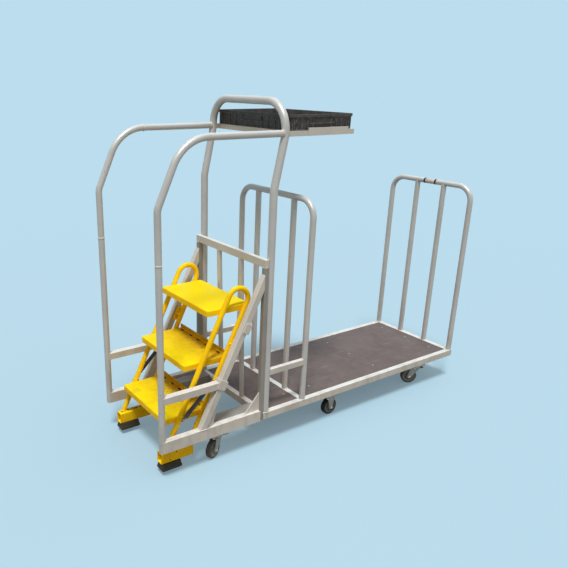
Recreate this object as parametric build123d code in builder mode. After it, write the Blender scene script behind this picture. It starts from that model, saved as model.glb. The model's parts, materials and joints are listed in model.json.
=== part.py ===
from build123d import *
import os
from math import atan2, cos, degrees, hypot, radians, sin, tan

os.makedirs("parts", exist_ok=True)

# Overall layout, in mm. X runs from the steps to the end of the deck, Y from the near side to the far side.
# The reaches are measured along X from the axis of the main hoop.
TRACK = 600.0
DECK_REACH = 1532.0
STEP_REACH = 616.0
MID_HOOP_REACH = 258.0
SIDES = (("near", -1), ("far", 1))
HALF_TRACK = TRACK / 2

# Tube and bar sections
HOOP_TUBE = 38.0
RAIL_TUBE = 32.0
GUARD_TUBE = 26.9
LOOP_TUBE = 26.9
DECK_TUBE_W = 32.0
DECK_TUBE_H = 40.0
SIDE_RAIL_W = 35.0
SIDE_RAIL_H = 60.0
SQUARE = 35.0
UPRIGHT = 25.0
STRUT_W = 25.0
STRUT_H = 30.0
CROSSBAR_H = 40.0
GUSSET_T = 6.0

# Places along X that the rest takes over
MAIN_X = (STEP_REACH + RAIL_TUBE / 2 - DECK_REACH) / 2
FRONT_X = MAIN_X - STEP_REACH
END_X = MAIN_X + DECK_REACH
DECK_FRONT_X = MAIN_X - HOOP_TUBE / 2
MID_HOOP_X = MAIN_X + MID_HOOP_REACH
END_HOOP_X = END_X - RAIL_TUBE / 2
UPRIGHT_X = DECK_FRONT_X - UPRIGHT / 2
UPRIGHT_FACE_X = DECK_FRONT_X - UPRIGHT

# Heights above the floor
DECK_BOTTOM = 166.0
DECK_TOP = DECK_BOTTOM + DECK_TUBE_H
SIDE_RAIL_TOP = DECK_BOTTOM + SIDE_RAIL_H
ARM_TOP = 460.0
STRUT_TOP = 448.0
CROSSBAR_TOP = 1041.0
MAIN_TOP_Z = 1762.0
MID_HOOP_TOP = 1295.0
END_HOOP_TOP = 1259.0

# Drops from the top of the main hoop to its kinks and the handrails,
# and from a handrail to its kink and the shelf
UPPER_KINK_DROP = 144.0
KINK_DROP = 394.0
HANDRAIL_DROP = 138.0
HAND_KINK_DROP = 287.0
SHELF_DROP = 16.0
MAIN_UPPER_KINK_Z = MAIN_TOP_Z - UPPER_KINK_DROP
MAIN_KINK_Z = MAIN_TOP_Z - KINK_DROP
HANDRAIL_Z = MAIN_TOP_Z - HANDRAIL_DROP
HAND_KINK_Z = HANDRAIL_Z - HAND_KINK_DROP

# Hoops and handrails
MAIN_LEAN = 54.0
MAIN_KINK_R = 80.0
MAIN_BEND_R = 130.0
HOOP_BEND_R = 90.0
HAND_LEAN_DEG = 24.3
HAND_KINK_R = 80.0
HAND_BEND_R = 190.0
END_BAR_Y = 100.0
MID_BAR_Y = 150.0
GUARD_BAR_Y = 100.0

# Deck boards and their seats
BOARD_T = 12.0
BOARD_SINK = 1.0
BOARD_GAP = 0.5
LEDGE_W = 20.0
LEDGE_T = 4.0
CROSS_W = 100.0
STRIP_W = RAIL_TUBE

# Slanted guide bars, as their centre line at the foot and its lean from the vertical
GUIDE_FOOT_REACH = 392.0
GUIDE_LEAN_DEG = 26.3
COLLAR_WALL = 6.0
BRACKET_Z = 443.0
BRACKET_L = 48.0
STOP_RISE = 64.0
STOP_L = 52.0
STOP_FRONT = 10.0
STOP_BACK = 27.5
FOOT_GUSSET_W = 44.0
FOOT_GUSSET_TOP = 402.0
UPRIGHT_GUSSET_W = 92.0
UPRIGHT_GUSSET_H = 104.0

# Step unit, at rest with its pads this far above the floor
PAD_LIFT = 25.0
PAD_H = 38.0
PAD_L = 114.0
PAD_W = 68.0
PAD_BEVEL = 7.0
PAD_CENTRE_REACH = 540.0
CHANNEL_H = 60.0
CHANNEL_W = 45.0
CHANNEL_WALL = 3.0
CHANNEL_FRONT_REACH = 597.0
CHANNEL_BACK_REACH = 414.0
CHANNEL_INSET = 68.0
LOOP_INSET = 60.0
LOOP_LEAN_DEG = 26.0
LOOP_R = 60.0
BEND_SLACK = 0.05
LOOP_CENTRE_REACH = 148.0
LOOP_CENTRE_Z = 838.0
TREAD_DEPTH = 250.0
TREAD_SHEET = 3.0
TREAD_SKIRT = 30.0
# name, reach of the front edge, height of the top, height of the lip at the back
TREADS = (
    ("bottom", 566.0, 290.0, 23.0),
    ("middle", 449.0, 550.0, 23.0),
    ("top", 318.0, 806.0, 0.0),
)

# Slide brackets of the step unit, beside the guide bars and with a finger behind each
SLIDE_BOTTOM = 580.0
SLIDE_TOP = 650.0
SLIDE_T = 6.0
SLIDE_GAP = 6.5
SLIDE_FRONT = 10.0
FINGER_T = 8.0
FINGER_PLAY = 0.5
BOSS_D = 22.0

# Lift springs between the guide brackets and the step unit
SPRING_D = 22.0
SPRING_INSET = 34.0
SPRING_EYE_T = 9.0
SPRING_SHANK = 12.0
LUG_D = 30.0
SPRING_PIN = 10.0
SPRING_TOP_REACH = 309.0
SPRING_TOP_Z = 446.0
SPRING_FOOT_REACH = 478.0
SPRING_FOOT_Z = 284.0
SPRING_PLAY = 1.0

# Shelf and tray
TRAY_W = 400.0
TRAY_H = 72.0
TRAY_WALL = 3.0
TRAY_RIM = 3.0
TRAY_RIM_H = 14.0
TRAY_FRONT = 79.0
SHELF_BOTTOM = HANDRAIL_Z - SHELF_DROP
SHELF_INSET = 6.0
TRAY_CLEAR = 4.0
SHELF_BAR_H = 24.0
SHELF_BAR_W = 20.0
SHELF_REACH = 484.0
SHELF_BACK_GAP = 18.0
SIDE_PLATE_T = 3.0
SIDE_PLATE_H = 37.0
SIDE_PLATE_FROM = 187.0
SIDE_PLATE_TO = 442.0

# Castors
WHEEL_D = 100.0
WHEEL_W = 30.0
TYRE_T = 12.0
CORE_INSET = 2.0
RIM_T = 6.0
WEB_T = 6.0
HUB_D = 26.0
AXLE_D = 10.0
AXLE_PLAY = 0.05
AXLE_L = 52.0
NUT_D = 17.0
NUT_H = 6.0
TRAIL = 38.0
CASTOR_H = 128.0
PLATE_L = 100.0
PLATE_W = 80.0
PLATE_T = 4.0
HEAD_D = 62.0
HEAD_H = 12.0
FORK_T = 4.0
FORK_IN = 17.5
CROWN_L = 72.0
CROWN_SHIFT = 5.0
CROWN_T = 5.0
LEG_SHARE = 0.8
EYE_D = 27.0
HUB_GAP = 1.0
CASTOR_INSET = 68.0
BEAM_W = 70.0
BEAM_H = 50.0
BEAM_REACH = 345.0
BEAM_TIE = 25.0
PEDAL_L = 20.0
PEDAL_W = 34.0
# name, reach of the swivel axis or fixed wheel, side, heading in degrees, pair
CASTORS = (
    ("front_near", -258.0, -1, 25.0, "swivel"),
    ("front_far", -258.0, 1, 12.0, "swivel"),
    ("middle_near", 534.0, -1, 0.0, "fixed"),
    ("middle_far", 534.0, 1, 0.0, "fixed"),
    ("rear_near", 1290.0, -1, -33.6, "braked"),
    ("rear_far", 1290.0, 1, -14.0, "braked"),
)

# Values worked out from the above
GUIDE_SLOPE = tan(radians(GUIDE_LEAN_DEG))
STOP_Z = SLIDE_TOP + STOP_RISE
GUIDE_HALF = SQUARE / 2 / cos(radians(GUIDE_LEAN_DEG))
GUIDE_FOOT_X = MAIN_X - GUIDE_FOOT_REACH
BOARD_BOTTOM = DECK_TOP - BOARD_SINK - BOARD_T
CHANNEL_BOTTOM = PAD_LIFT + PAD_H
CHANNEL_TOP = CHANNEL_BOTTOM + CHANNEL_H
LOOP_Y = HALF_TRACK - LOOP_INSET
CASTOR_Y = HALF_TRACK - CASTOR_INSET
TREAD_HALF = LOOP_Y - LOOP_TUBE / 2
COLLAR_OUT = SQUARE / 2 + COLLAR_WALL
SHELF_TOP = SHELF_BOTTOM + SHELF_BAR_H
HOOP_TOP_X = MAIN_X + MAIN_LEAN


def save(made, name):
    made.part.label = name
    export_step(made.part, "parts/" + name + ".step")


def across(y):
    """Plane that faces the near side at this Y, with X to the right and Z up."""
    return Plane.XZ.offset(-y)


def guide_x(z):
    """X of a guide bar's centre line at this height."""
    return GUIDE_FOOT_X + (z - SIDE_RAIL_TOP) * GUIDE_SLOPE


def along_guide(z, y):
    """Plane square to a guide bar, centred on its centre line at this height."""
    lean = radians(GUIDE_LEAN_DEG)
    return Plane(origin=(guide_x(z), y, z), x_dir=(0, 1, 0), z_dir=(sin(lean), 0, cos(lean)))


def tube(points, radii, diameter):
    """Round tube bent along these points, closed at its ends."""
    with BuildPart(mode=Mode.PRIVATE) as made:
        with BuildLine() as path:
            FilletPolyline(*points, radius=radii)
        start = path.wires()[0]
        with BuildSketch(Plane(origin=start @ 0, z_dir=start % 0)):
            Circle(diameter / 2)
        sweep(path=start)
    return made.part


# Deck frame: side and end rails, cross members and the ledge that the boards lie on
deck_centre_x = (DECK_FRONT_X + END_X) / 2
deck_length = END_X - DECK_FRONT_X
deck_width = TRACK + DECK_TUBE_W
inner_length = deck_length - 2 * DECK_TUBE_W
inner_width = deck_width - 2 * DECK_TUBE_W
with BuildPart() as deck_frame:
    with BuildSketch(Plane.XY.offset(DECK_BOTTOM)):
        with Locations((deck_centre_x, 0)):
            Rectangle(deck_length, deck_width)
            Rectangle(inner_length, inner_width, mode=Mode.SUBTRACT)
    extrude(amount=DECK_TUBE_H)
    with BuildSketch(Plane.XY.offset(BOARD_BOTTOM - LEDGE_T)):
        with Locations((deck_centre_x, 0)):
            Rectangle(inner_length, inner_width)
            Rectangle(inner_length - 2 * LEDGE_W, inner_width - 2 * LEDGE_W, mode=Mode.SUBTRACT)
    extrude(amount=LEDGE_T)
    with BuildSketch(Plane.XY.offset(DECK_BOTTOM)):
        for name, reach, side, heading, pair in CASTORS:
            if reach > 0 and side > 0:
                with Locations((MAIN_X + reach, 0)):
                    Rectangle(CROSS_W, inner_width)
    extrude(amount=BOARD_BOTTOM - DECK_BOTTOM)
    with BuildSketch(Plane.XY.offset(DECK_BOTTOM)):
        with Locations((MID_HOOP_X, 0)):
            Rectangle(STRIP_W, inner_width)
    extrude(amount=DECK_TUBE_H)
save(deck_frame, "deck_frame")

# Deck boards, one on each side of the strip under the middle hoop
board_spans = (
    (DECK_FRONT_X + DECK_TUBE_W, MID_HOOP_X - STRIP_W / 2),
    (MID_HOOP_X + STRIP_W / 2, END_X - DECK_TUBE_W),
)
with BuildPart() as deck_boards:
    with BuildSketch(Plane.XY.offset(BOARD_BOTTOM)):
        for start_x, stop_x in board_spans:
            with Locations(((start_x + stop_x) / 2, 0)):
                Rectangle(stop_x - start_x - 2 * BOARD_GAP, inner_width - 2 * BOARD_GAP)
    extrude(amount=BOARD_T)
save(deck_boards, "deck_boards")

# Main hoop
main_points = [
    (MAIN_X, -HALF_TRACK, DECK_TOP),
    (MAIN_X, -HALF_TRACK, MAIN_KINK_Z),
    (HOOP_TOP_X, -HALF_TRACK, MAIN_UPPER_KINK_Z),
    (HOOP_TOP_X, -HALF_TRACK, MAIN_TOP_Z),
    (HOOP_TOP_X, HALF_TRACK, MAIN_TOP_Z),
    (HOOP_TOP_X, HALF_TRACK, MAIN_UPPER_KINK_Z),
    (MAIN_X, HALF_TRACK, MAIN_KINK_Z),
    (MAIN_X, HALF_TRACK, DECK_TOP),
]
main_radii = [MAIN_KINK_R, MAIN_KINK_R, MAIN_BEND_R, MAIN_BEND_R, MAIN_KINK_R, MAIN_KINK_R]
with BuildPart() as main_hoop:
    add(tube(main_points, main_radii, HOOP_TUBE))
save(main_hoop, "main_hoop")

# End hoop and middle hoop with their upright bars
# name, X, height of the top, Y of the bars
HOOPS = (
    ("end_hoop", END_HOOP_X, END_HOOP_TOP, END_BAR_Y),
    ("middle_hoop", MID_HOOP_X, MID_HOOP_TOP, MID_BAR_Y),
)
for name, x, top, bar_y in HOOPS:
    hoop_points = [
        (x, -HALF_TRACK, DECK_TOP),
        (x, -HALF_TRACK, top),
        (x, HALF_TRACK, top),
        (x, HALF_TRACK, DECK_TOP),
    ]
    with BuildPart() as hoop:
        add(tube(hoop_points, [HOOP_BEND_R, HOOP_BEND_R], RAIL_TUBE))
    save(hoop, name)
    with BuildPart() as hoop_bars:
        with BuildSketch(Plane.XY.offset(DECK_TOP)):
            with Locations((x, -bar_y), (x, bar_y)):
                Circle(RAIL_TUBE / 2)
        extrude(amount=top - DECK_TOP)
        add(hoop.part, mode=Mode.SUBTRACT)
    save(hoop_bars, name + "_bars")

# Struts between the main hoop and the middle hoop
with BuildPart() as hoop_struts:
    for name, side in SIDES:
        with BuildSketch(across(side * HALF_TRACK)):
            with Locations(((MAIN_X + MID_HOOP_X) / 2, STRUT_TOP - STRUT_H / 2)):
                Rectangle(MID_HOOP_REACH, STRUT_H)
        extrude(amount=STRUT_W / 2, both=True)
        with BuildSketch(Plane.XY.offset(STRUT_TOP - STRUT_H)):
            with Locations((MAIN_X, side * HALF_TRACK)):
                Circle(HOOP_TUBE / 2)
            with Locations((MID_HOOP_X, side * HALF_TRACK)):
                Circle(RAIL_TUBE / 2)
        extrude(amount=STRUT_H, mode=Mode.SUBTRACT)
save(hoop_struts, "hoop_struts")

# Handrails, each in one piece with its front post
hand_corner_x = FRONT_X + (HANDRAIL_Z - HAND_KINK_Z) * tan(radians(HAND_LEAN_DEG))
for name, side in SIDES:
    y = side * HALF_TRACK
    hand_points = [
        (FRONT_X, y, DECK_BOTTOM),
        (FRONT_X, y, HAND_KINK_Z),
        (hand_corner_x, y, HANDRAIL_Z),
        (HOOP_TOP_X, y, HANDRAIL_Z),
    ]
    with BuildPart() as handrail:
        add(tube(hand_points, [HAND_KINK_R, HAND_BEND_R], RAIL_TUBE))
        add(main_hoop.part, mode=Mode.SUBTRACT)
    save(handrail, "handrail_" + name)

# Lower side rails of the step frame, from the front posts to the uprights
with BuildPart() as side_rails:
    for name, side in SIDES:
        with BuildSketch(Plane.XY.offset(DECK_BOTTOM)):
            with Locations(((FRONT_X + UPRIGHT_FACE_X) / 2, side * HALF_TRACK)):
                Rectangle(UPRIGHT_FACE_X - FRONT_X, SIDE_RAIL_W)
            with Locations((FRONT_X, side * HALF_TRACK)):
                Circle(RAIL_TUBE / 2, mode=Mode.SUBTRACT)
        extrude(amount=SIDE_RAIL_H)
    for name, side in SIDES:
        with BuildSketch(Plane.XY.offset(DECK_BOTTOM)):
            with Locations((FRONT_X - RAIL_TUBE / 2, side * HALF_TRACK)):
                Rectangle(RAIL_TUBE, SIDE_RAIL_W)
        extrude(amount=SIDE_RAIL_H, mode=Mode.SUBTRACT)
save(side_rails, "side_rails")

# Uprights, crossbar and guard bars in front of the main hoop
crossbar_bottom = CROSSBAR_TOP - CROSSBAR_H
with BuildPart() as uprights:
    with BuildSketch(Plane.XY.offset(DECK_BOTTOM)):
        with Locations((UPRIGHT_X, -HALF_TRACK), (UPRIGHT_X, HALF_TRACK)):
            Rectangle(UPRIGHT, UPRIGHT)
    extrude(amount=crossbar_bottom - DECK_BOTTOM)
save(uprights, "uprights")

with BuildPart() as crossbar:
    with BuildSketch(Plane.XY.offset(crossbar_bottom)):
        with Locations((UPRIGHT_X, 0)):
            Rectangle(UPRIGHT, TRACK + UPRIGHT)
    extrude(amount=CROSSBAR_H)
save(crossbar, "crossbar")

guard_foot_x = DECK_FRONT_X + GUARD_TUBE / 2
guard_lean = atan2(guard_foot_x - UPRIGHT_X, crossbar_bottom - DECK_TOP)
with BuildPart() as guard_bars:
    for name, side in SIDES:
        foot = (guard_foot_x, side * GUARD_BAR_Y, DECK_TOP)
        with BuildSketch(Plane(origin=foot, z_dir=(-sin(guard_lean), 0, cos(guard_lean)))):
            Circle(GUARD_TUBE / 2)
        extrude(amount=hypot(guard_foot_x - UPRIGHT_X, crossbar_bottom - DECK_TOP), both=True)
    split(bisect_by=Plane.XY.offset(crossbar_bottom), keep=Keep.BOTTOM)
    split(bisect_by=Plane.XY.offset(DECK_TOP), keep=Keep.TOP)
save(guard_bars, "guard_bars")

# Slanted guide bars from the uprights down to the side rails
for name, side in SIDES:
    front_z = SIDE_RAIL_TOP + (UPRIGHT_FACE_X + GUIDE_HALF - GUIDE_FOOT_X) / GUIDE_SLOPE
    back_z = SIDE_RAIL_TOP + (UPRIGHT_FACE_X - GUIDE_HALF - GUIDE_FOOT_X) / GUIDE_SLOPE
    with BuildPart() as guide_bar:
        with BuildSketch(across(side * HALF_TRACK)):
            with BuildLine():
                Polyline(
                    (UPRIGHT_FACE_X, front_z),
                    (GUIDE_FOOT_X - GUIDE_HALF, SIDE_RAIL_TOP),
                    (GUIDE_FOOT_X + GUIDE_HALF, SIDE_RAIL_TOP),
                    (UPRIGHT_FACE_X, back_z),
                    close=True,
                )
            make_face()
        extrude(amount=SQUARE / 2, both=True)
    save(guide_bar, "guide_bar_" + name)

# Upper arms from the front posts to the guide bars
arm_bottom = ARM_TOP - SQUARE
with BuildPart() as upper_arms:
    for name, side in SIDES:
        with BuildSketch(across(side * HALF_TRACK)):
            with BuildLine():
                Polyline(
                    (FRONT_X, arm_bottom),
                    (guide_x(arm_bottom) - GUIDE_HALF, arm_bottom),
                    (guide_x(ARM_TOP) - GUIDE_HALF, ARM_TOP),
                    (FRONT_X, ARM_TOP),
                    close=True,
                )
            make_face()
        extrude(amount=SQUARE / 2, both=True)
    for name, side in SIDES:
        with BuildSketch(Plane.XY.offset(arm_bottom)):
            with Locations((FRONT_X, side * HALF_TRACK)):
                Circle(RAIL_TUBE / 2)
            with Locations((FRONT_X - RAIL_TUBE / 2, side * HALF_TRACK)):
                Rectangle(RAIL_TUBE, SQUARE)
        extrude(amount=SQUARE, mode=Mode.SUBTRACT)
    for name, side in SIDES:
        with BuildSketch(along_guide(BRACKET_Z, side * HALF_TRACK)):
            Rectangle(2 * COLLAR_OUT, 2 * COLLAR_OUT)
        extrude(amount=BRACKET_L / 2, both=True, mode=Mode.SUBTRACT)
save(upper_arms, "upper_arms")

# Brackets around the guide bars where the arms end, with the pins that hold the lift springs
spring_y = HALF_TRACK - SPRING_INSET
pin_outer_y = HALF_TRACK - COLLAR_OUT
pin_inner_y = spring_y - SPRING_EYE_T / 2 - TREAD_SHEET
spring_top_x = MAIN_X - SPRING_TOP_REACH
with BuildPart() as guide_brackets:
    for name, side in SIDES:
        with BuildSketch(along_guide(BRACKET_Z, side * HALF_TRACK)):
            Rectangle(2 * COLLAR_OUT, 2 * COLLAR_OUT)
            Rectangle(SQUARE, SQUARE, mode=Mode.SUBTRACT)
        extrude(amount=BRACKET_L / 2, both=True)
        with BuildSketch(across(side * (pin_outer_y + pin_inner_y) / 2)):
            with Locations((spring_top_x, SPRING_TOP_Z)):
                Circle(SPRING_PIN / 2)
        extrude(amount=(pin_outer_y - pin_inner_y) / 2, both=True)
save(guide_brackets, "guide_brackets")

# Gussets on the side rails: one under each guide bar and one at each upright
foot_back_x = GUIDE_FOOT_X + GUIDE_HALF
with BuildPart() as gussets:
    for name, side in SIDES:
        with BuildSketch(across(side * HALF_TRACK)):
            with BuildLine():
                Polyline(
                    (foot_back_x, SIDE_RAIL_TOP),
                    (foot_back_x + FOOT_GUSSET_W, SIDE_RAIL_TOP),
                    (guide_x(FOOT_GUSSET_TOP) + GUIDE_HALF, FOOT_GUSSET_TOP),
                    close=True,
                )
            make_face()
            with BuildLine():
                Polyline(
                    (UPRIGHT_FACE_X - UPRIGHT_GUSSET_W, SIDE_RAIL_TOP),
                    (UPRIGHT_FACE_X, SIDE_RAIL_TOP),
                    (UPRIGHT_FACE_X, SIDE_RAIL_TOP + UPRIGHT_GUSSET_H),
                    close=True,
                )
            make_face()
        extrude(amount=GUSSET_T / 2, both=True)
save(gussets, "gussets")

# Beams inboard of the side rails, which carry the front castors
beam_length = BEAM_REACH - HOOP_TUBE / 2
with BuildPart() as castor_beams:
    with BuildSketch(Plane.XY.offset(DECK_BOTTOM)):
        for name, side in SIDES:
            with Locations((DECK_FRONT_X - beam_length / 2, side * CASTOR_Y)):
                Rectangle(beam_length, BEAM_W)
            tie_from = CASTOR_Y + BEAM_W / 2
            tie_to = HALF_TRACK - SIDE_RAIL_W / 2
            with Locations((MAIN_X - BEAM_REACH + BEAM_TIE / 2, side * (tie_from + tie_to) / 2)):
                Rectangle(BEAM_TIE, tie_to - tie_from)
    extrude(amount=BEAM_H)
save(castor_beams, "castor_beams")

# Castor seats under the frame, and the castor plates with their swivel heads
with BuildPart() as castor_seats:
    with BuildSketch(Plane.XY.offset(CASTOR_H)):
        for name, reach, side, heading, pair in CASTORS:
            with Locations((MAIN_X + reach, side * CASTOR_Y)):
                Rectangle(PLATE_L, PLATE_W)
    extrude(amount=DECK_BOTTOM - CASTOR_H)
save(castor_seats, "castor_seats")

head_bottom = CASTOR_H - PLATE_T - HEAD_H
with BuildPart() as castor_plates:
    with BuildSketch(Plane.XY.offset(CASTOR_H - PLATE_T)):
        for name, reach, side, heading, pair in CASTORS:
            if pair != "fixed":
                with Locations((MAIN_X + reach, side * CASTOR_Y)):
                    Rectangle(PLATE_L, PLATE_W)
    extrude(amount=PLATE_T)
    with BuildSketch(Plane.XY.offset(CASTOR_H - PLATE_T - HEAD_H)):
        for name, reach, side, heading, pair in CASTORS:
            if pair != "fixed":
                with Locations((MAIN_X + reach, side * CASTOR_Y)):
                    Circle(HEAD_D / 2)
    extrude(amount=HEAD_H)
save(castor_plates, "castor_plates")

# Forks, wheels and tyres, each built on the castor's own planes
wheel_r = WHEEL_D / 2
core_r = wheel_r - TYRE_T
core_half = WHEEL_W / 2 - CORE_INSET
for name, reach, side, heading, pair in CASTORS:
    trail = 0.0 if pair == "fixed" else TRAIL
    shift = 0.0 if pair == "fixed" else CROWN_SHIFT
    turn = radians(heading)
    ahead = Vector(cos(turn), sin(turn), 0)
    left = Vector(-sin(turn), cos(turn), 0)
    pivot = Vector(MAIN_X + reach, side * CASTOR_Y, 0)
    axle = pivot - ahead * trail + Vector(0, 0, wheel_r)
    crown_top = CASTOR_H if pair == "fixed" else head_bottom
    cheek_plane = Plane(origin=axle, x_dir=ahead, z_dir=-left)
    crown_plane = Plane(origin=pivot + Vector(0, 0, crown_top - CROWN_T), x_dir=ahead, z_dir=(0, 0, 1))
    cheek_top = crown_top - wheel_r
    with BuildPart() as fork:
        for hand in (-1, 1):
            with BuildSketch(cheek_plane.offset(hand * (FORK_IN + FORK_T / 2))):
                Circle(EYE_D / 2)
                with Locations((trail - shift, cheek_top - CROWN_T / 2)):
                    Rectangle(CROWN_L * LEG_SHARE, CROWN_T)
                make_hull()
            extrude(amount=FORK_T / 2, both=True)
        with BuildSketch(crown_plane):
            with Locations((-shift, 0)):
                Rectangle(CROWN_L if trail else PLATE_L, 2 * (FORK_IN + FORK_T) if trail else PLATE_W)
        extrude(amount=CROWN_T)
        with BuildSketch(cheek_plane):
            Circle(AXLE_D / 2)
        extrude(amount=AXLE_L / 2, both=True)
        for hand in (-1, 1):
            with BuildSketch(cheek_plane.offset(hand * (FORK_IN + FORK_T + NUT_H / 2))):
                RegularPolygon(NUT_D / 2, 6)
            extrude(amount=NUT_H / 2, both=True)
        if pair == "braked":
            with BuildSketch(crown_plane):
                with Locations((CROWN_L / 2 - shift + PEDAL_L / 2, 0)):
                    Rectangle(PEDAL_L, PEDAL_W)
            extrude(amount=CROWN_T / 2)
    save(fork, "fork_" + name)

    with BuildPart() as wheel:
        with BuildSketch(cheek_plane):
            Circle(core_r)
        extrude(amount=core_half, both=True)
        with BuildSketch(cheek_plane):
            Circle(core_r - RIM_T)
            Circle(HUB_D / 2, mode=Mode.SUBTRACT)
        extrude(amount=core_half, both=True, mode=Mode.SUBTRACT)
        with BuildSketch(cheek_plane):
            Circle(core_r - RIM_T / 2)
        extrude(amount=WEB_T / 2, both=True)
        with BuildSketch(cheek_plane):
            Circle(HUB_D / 2)
        extrude(amount=FORK_IN - HUB_GAP, both=True)
        with BuildSketch(cheek_plane):
            Circle(AXLE_D / 2 + AXLE_PLAY)
        extrude(amount=FORK_IN, both=True, mode=Mode.SUBTRACT)
    save(wheel, "wheel_" + name)

    with BuildPart() as tyre:
        with BuildSketch(cheek_plane):
            Circle(wheel_r)
            Circle(core_r, mode=Mode.SUBTRACT)
        extrude(amount=WHEEL_W / 2, both=True)
        fillet(tyre.edges().filter_by(GeomType.CIRCLE).sort_by(lambda e: e.radius)[-2:], TYRE_T / 3)
    save(tyre, "tyre_" + name)

# Shelf frame behind the main hoop, and the higher plates on its sides
shelf_end_x = MAIN_X + SHELF_REACH
shelf_bar_y = HALF_TRACK - SHELF_INSET
shelf_half = shelf_bar_y + SHELF_BAR_W / 2
front_bar_x = MAIN_X + TRAY_FRONT + SHELF_BAR_W / 2
back_bar_x = shelf_end_x - SHELF_BACK_GAP - SHELF_BAR_W / 2
with BuildPart() as shelf_frame:
    with BuildSketch(Plane.XY.offset(SHELF_BOTTOM)):
        for name, side in SIDES:
            with Locations(((HOOP_TOP_X + shelf_end_x) / 2, side * shelf_bar_y)):
                Rectangle(shelf_end_x - HOOP_TOP_X, SHELF_BAR_W)
        with Locations((front_bar_x, 0), (back_bar_x, 0)):
            Rectangle(SHELF_BAR_W, 2 * shelf_bar_y)
    extrude(amount=SHELF_BAR_H)
    add(main_hoop.part, mode=Mode.SUBTRACT)
save(shelf_frame, "shelf_frame")

side_plate_x = MAIN_X + (SIDE_PLATE_FROM + SIDE_PLATE_TO) / 2
side_plate_y = shelf_half + SIDE_PLATE_T / 2
with BuildPart() as shelf_side_plates:
    for name, side in SIDES:
        with BuildSketch(across(side * side_plate_y)):
            with Locations((side_plate_x, SHELF_BOTTOM + SIDE_PLATE_H / 2)):
                Rectangle(SIDE_PLATE_TO - SIDE_PLATE_FROM, SIDE_PLATE_H)
        extrude(amount=SIDE_PLATE_T / 2, both=True)
save(shelf_side_plates, "shelf_side_plates")

# Tray that lies on the shelf
tray_x = MAIN_X + TRAY_FRONT + TRAY_W / 2
tray_l = 2 * (shelf_half - TRAY_CLEAR)
body_w = TRAY_W - 2 * TRAY_RIM
body_l = tray_l - 2 * TRAY_RIM
with BuildPart() as tray:
    with BuildSketch(Plane.XY.offset(SHELF_TOP)):
        with Locations((tray_x, 0)):
            Rectangle(body_w, body_l)
    extrude(amount=TRAY_H)
    with BuildSketch(Plane.XY.offset(SHELF_TOP + TRAY_H - TRAY_RIM_H)):
        with Locations((tray_x, 0)):
            Rectangle(TRAY_W, tray_l)
    extrude(amount=TRAY_RIM_H)
    with BuildSketch(Plane.XY.offset(SHELF_TOP + TRAY_WALL)):
        with Locations((tray_x, 0)):
            Rectangle(body_w - 2 * TRAY_WALL, body_l - 2 * TRAY_WALL)
    extrude(amount=TRAY_H, mode=Mode.SUBTRACT)
save(tray, "tray")

# Looped stringers of the step unit
loop_lean = radians(LOOP_LEAN_DEG)
up_x, up_z = sin(loop_lean), cos(loop_lean)
loop_x = MAIN_X - LOOP_CENTRE_REACH
leg_run = LOOP_CENTRE_Z / up_z
loops = {}
for name, side in SIDES:
    y = side * LOOP_Y
    loop_points = []
    for hand, rise in ((-1, -leg_run), (-1, LOOP_R), (1, LOOP_R), (1, -leg_run)):
        point_x = loop_x + hand * LOOP_R * up_z + rise * up_x
        point_z = LOOP_CENTRE_Z - hand * LOOP_R * up_x + rise * up_z
        loop_points.append((point_x, y, point_z))
    bend = LOOP_R - BEND_SLACK
    with BuildPart() as loop:
        add(tube(loop_points, [bend, bend], LOOP_TUBE))
        split(bisect_by=Plane.XY.offset(CHANNEL_TOP), keep=Keep.TOP)
    save(loop, "step_loop_" + name)
    loops[name] = loop.part

# Treads, each a folded pan, the lower two with a raised lip at the back
for name, reach, top, lip in TREADS:
    tread_x = MAIN_X - reach + TREAD_DEPTH / 2
    with BuildPart() as tread:
        with BuildSketch(Plane.XY.offset(top - TREAD_SKIRT)):
            with Locations((tread_x, 0)):
                Rectangle(TREAD_DEPTH, 2 * TREAD_HALF)
        extrude(amount=TREAD_SKIRT)
        with BuildSketch(Plane.XY.offset(top - TREAD_SKIRT)):
            with Locations((tread_x, 0)):
                Rectangle(TREAD_DEPTH - 2 * TREAD_SHEET, 2 * (TREAD_HALF - TREAD_SHEET))
        extrude(amount=TREAD_SKIRT - TREAD_SHEET, mode=Mode.SUBTRACT)
        if lip > 0:
            with BuildSketch(Plane.XY.offset(top)):
                with Locations((tread_x + TREAD_DEPTH / 2 - TREAD_SHEET / 2, 0)):
                    Rectangle(TREAD_SHEET, 2 * TREAD_HALF)
            extrude(amount=lip)
    save(tread, "tread_" + name)

# Foot channels under the loops, open at both ends, and the pads under them
channel_y = HALF_TRACK - CHANNEL_INSET
channel_x = MAIN_X - (CHANNEL_FRONT_REACH + CHANNEL_BACK_REACH) / 2
channel_length = CHANNEL_FRONT_REACH - CHANNEL_BACK_REACH
with BuildPart() as foot_channels:
    for name, side in SIDES:
        with BuildSketch(Plane.YZ.offset(channel_x)):
            with Locations((side * channel_y, CHANNEL_BOTTOM + CHANNEL_H / 2)):
                Rectangle(CHANNEL_W, CHANNEL_H)
                Rectangle(CHANNEL_W - 2 * CHANNEL_WALL, CHANNEL_H - 2 * CHANNEL_WALL, mode=Mode.SUBTRACT)
        extrude(amount=channel_length / 2, both=True)
save(foot_channels, "foot_channels")

with BuildPart() as foot_pads:
    for name, side in SIDES:
        pad_place = (MAIN_X - PAD_CENTRE_REACH, side * channel_y)
        with BuildSketch(Plane.XY.offset(PAD_LIFT)) as pad_foot:
            with Locations(pad_place):
                Rectangle(PAD_L, PAD_W)
        with BuildSketch(Plane.XY.offset(PAD_LIFT + PAD_H)) as pad_head:
            with Locations(pad_place):
                Rectangle(PAD_L - 2 * PAD_BEVEL, PAD_W - 2 * PAD_BEVEL)
        loft(sections=[pad_foot.sketch, pad_head.sketch])
save(foot_pads, "foot_pads")

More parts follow.
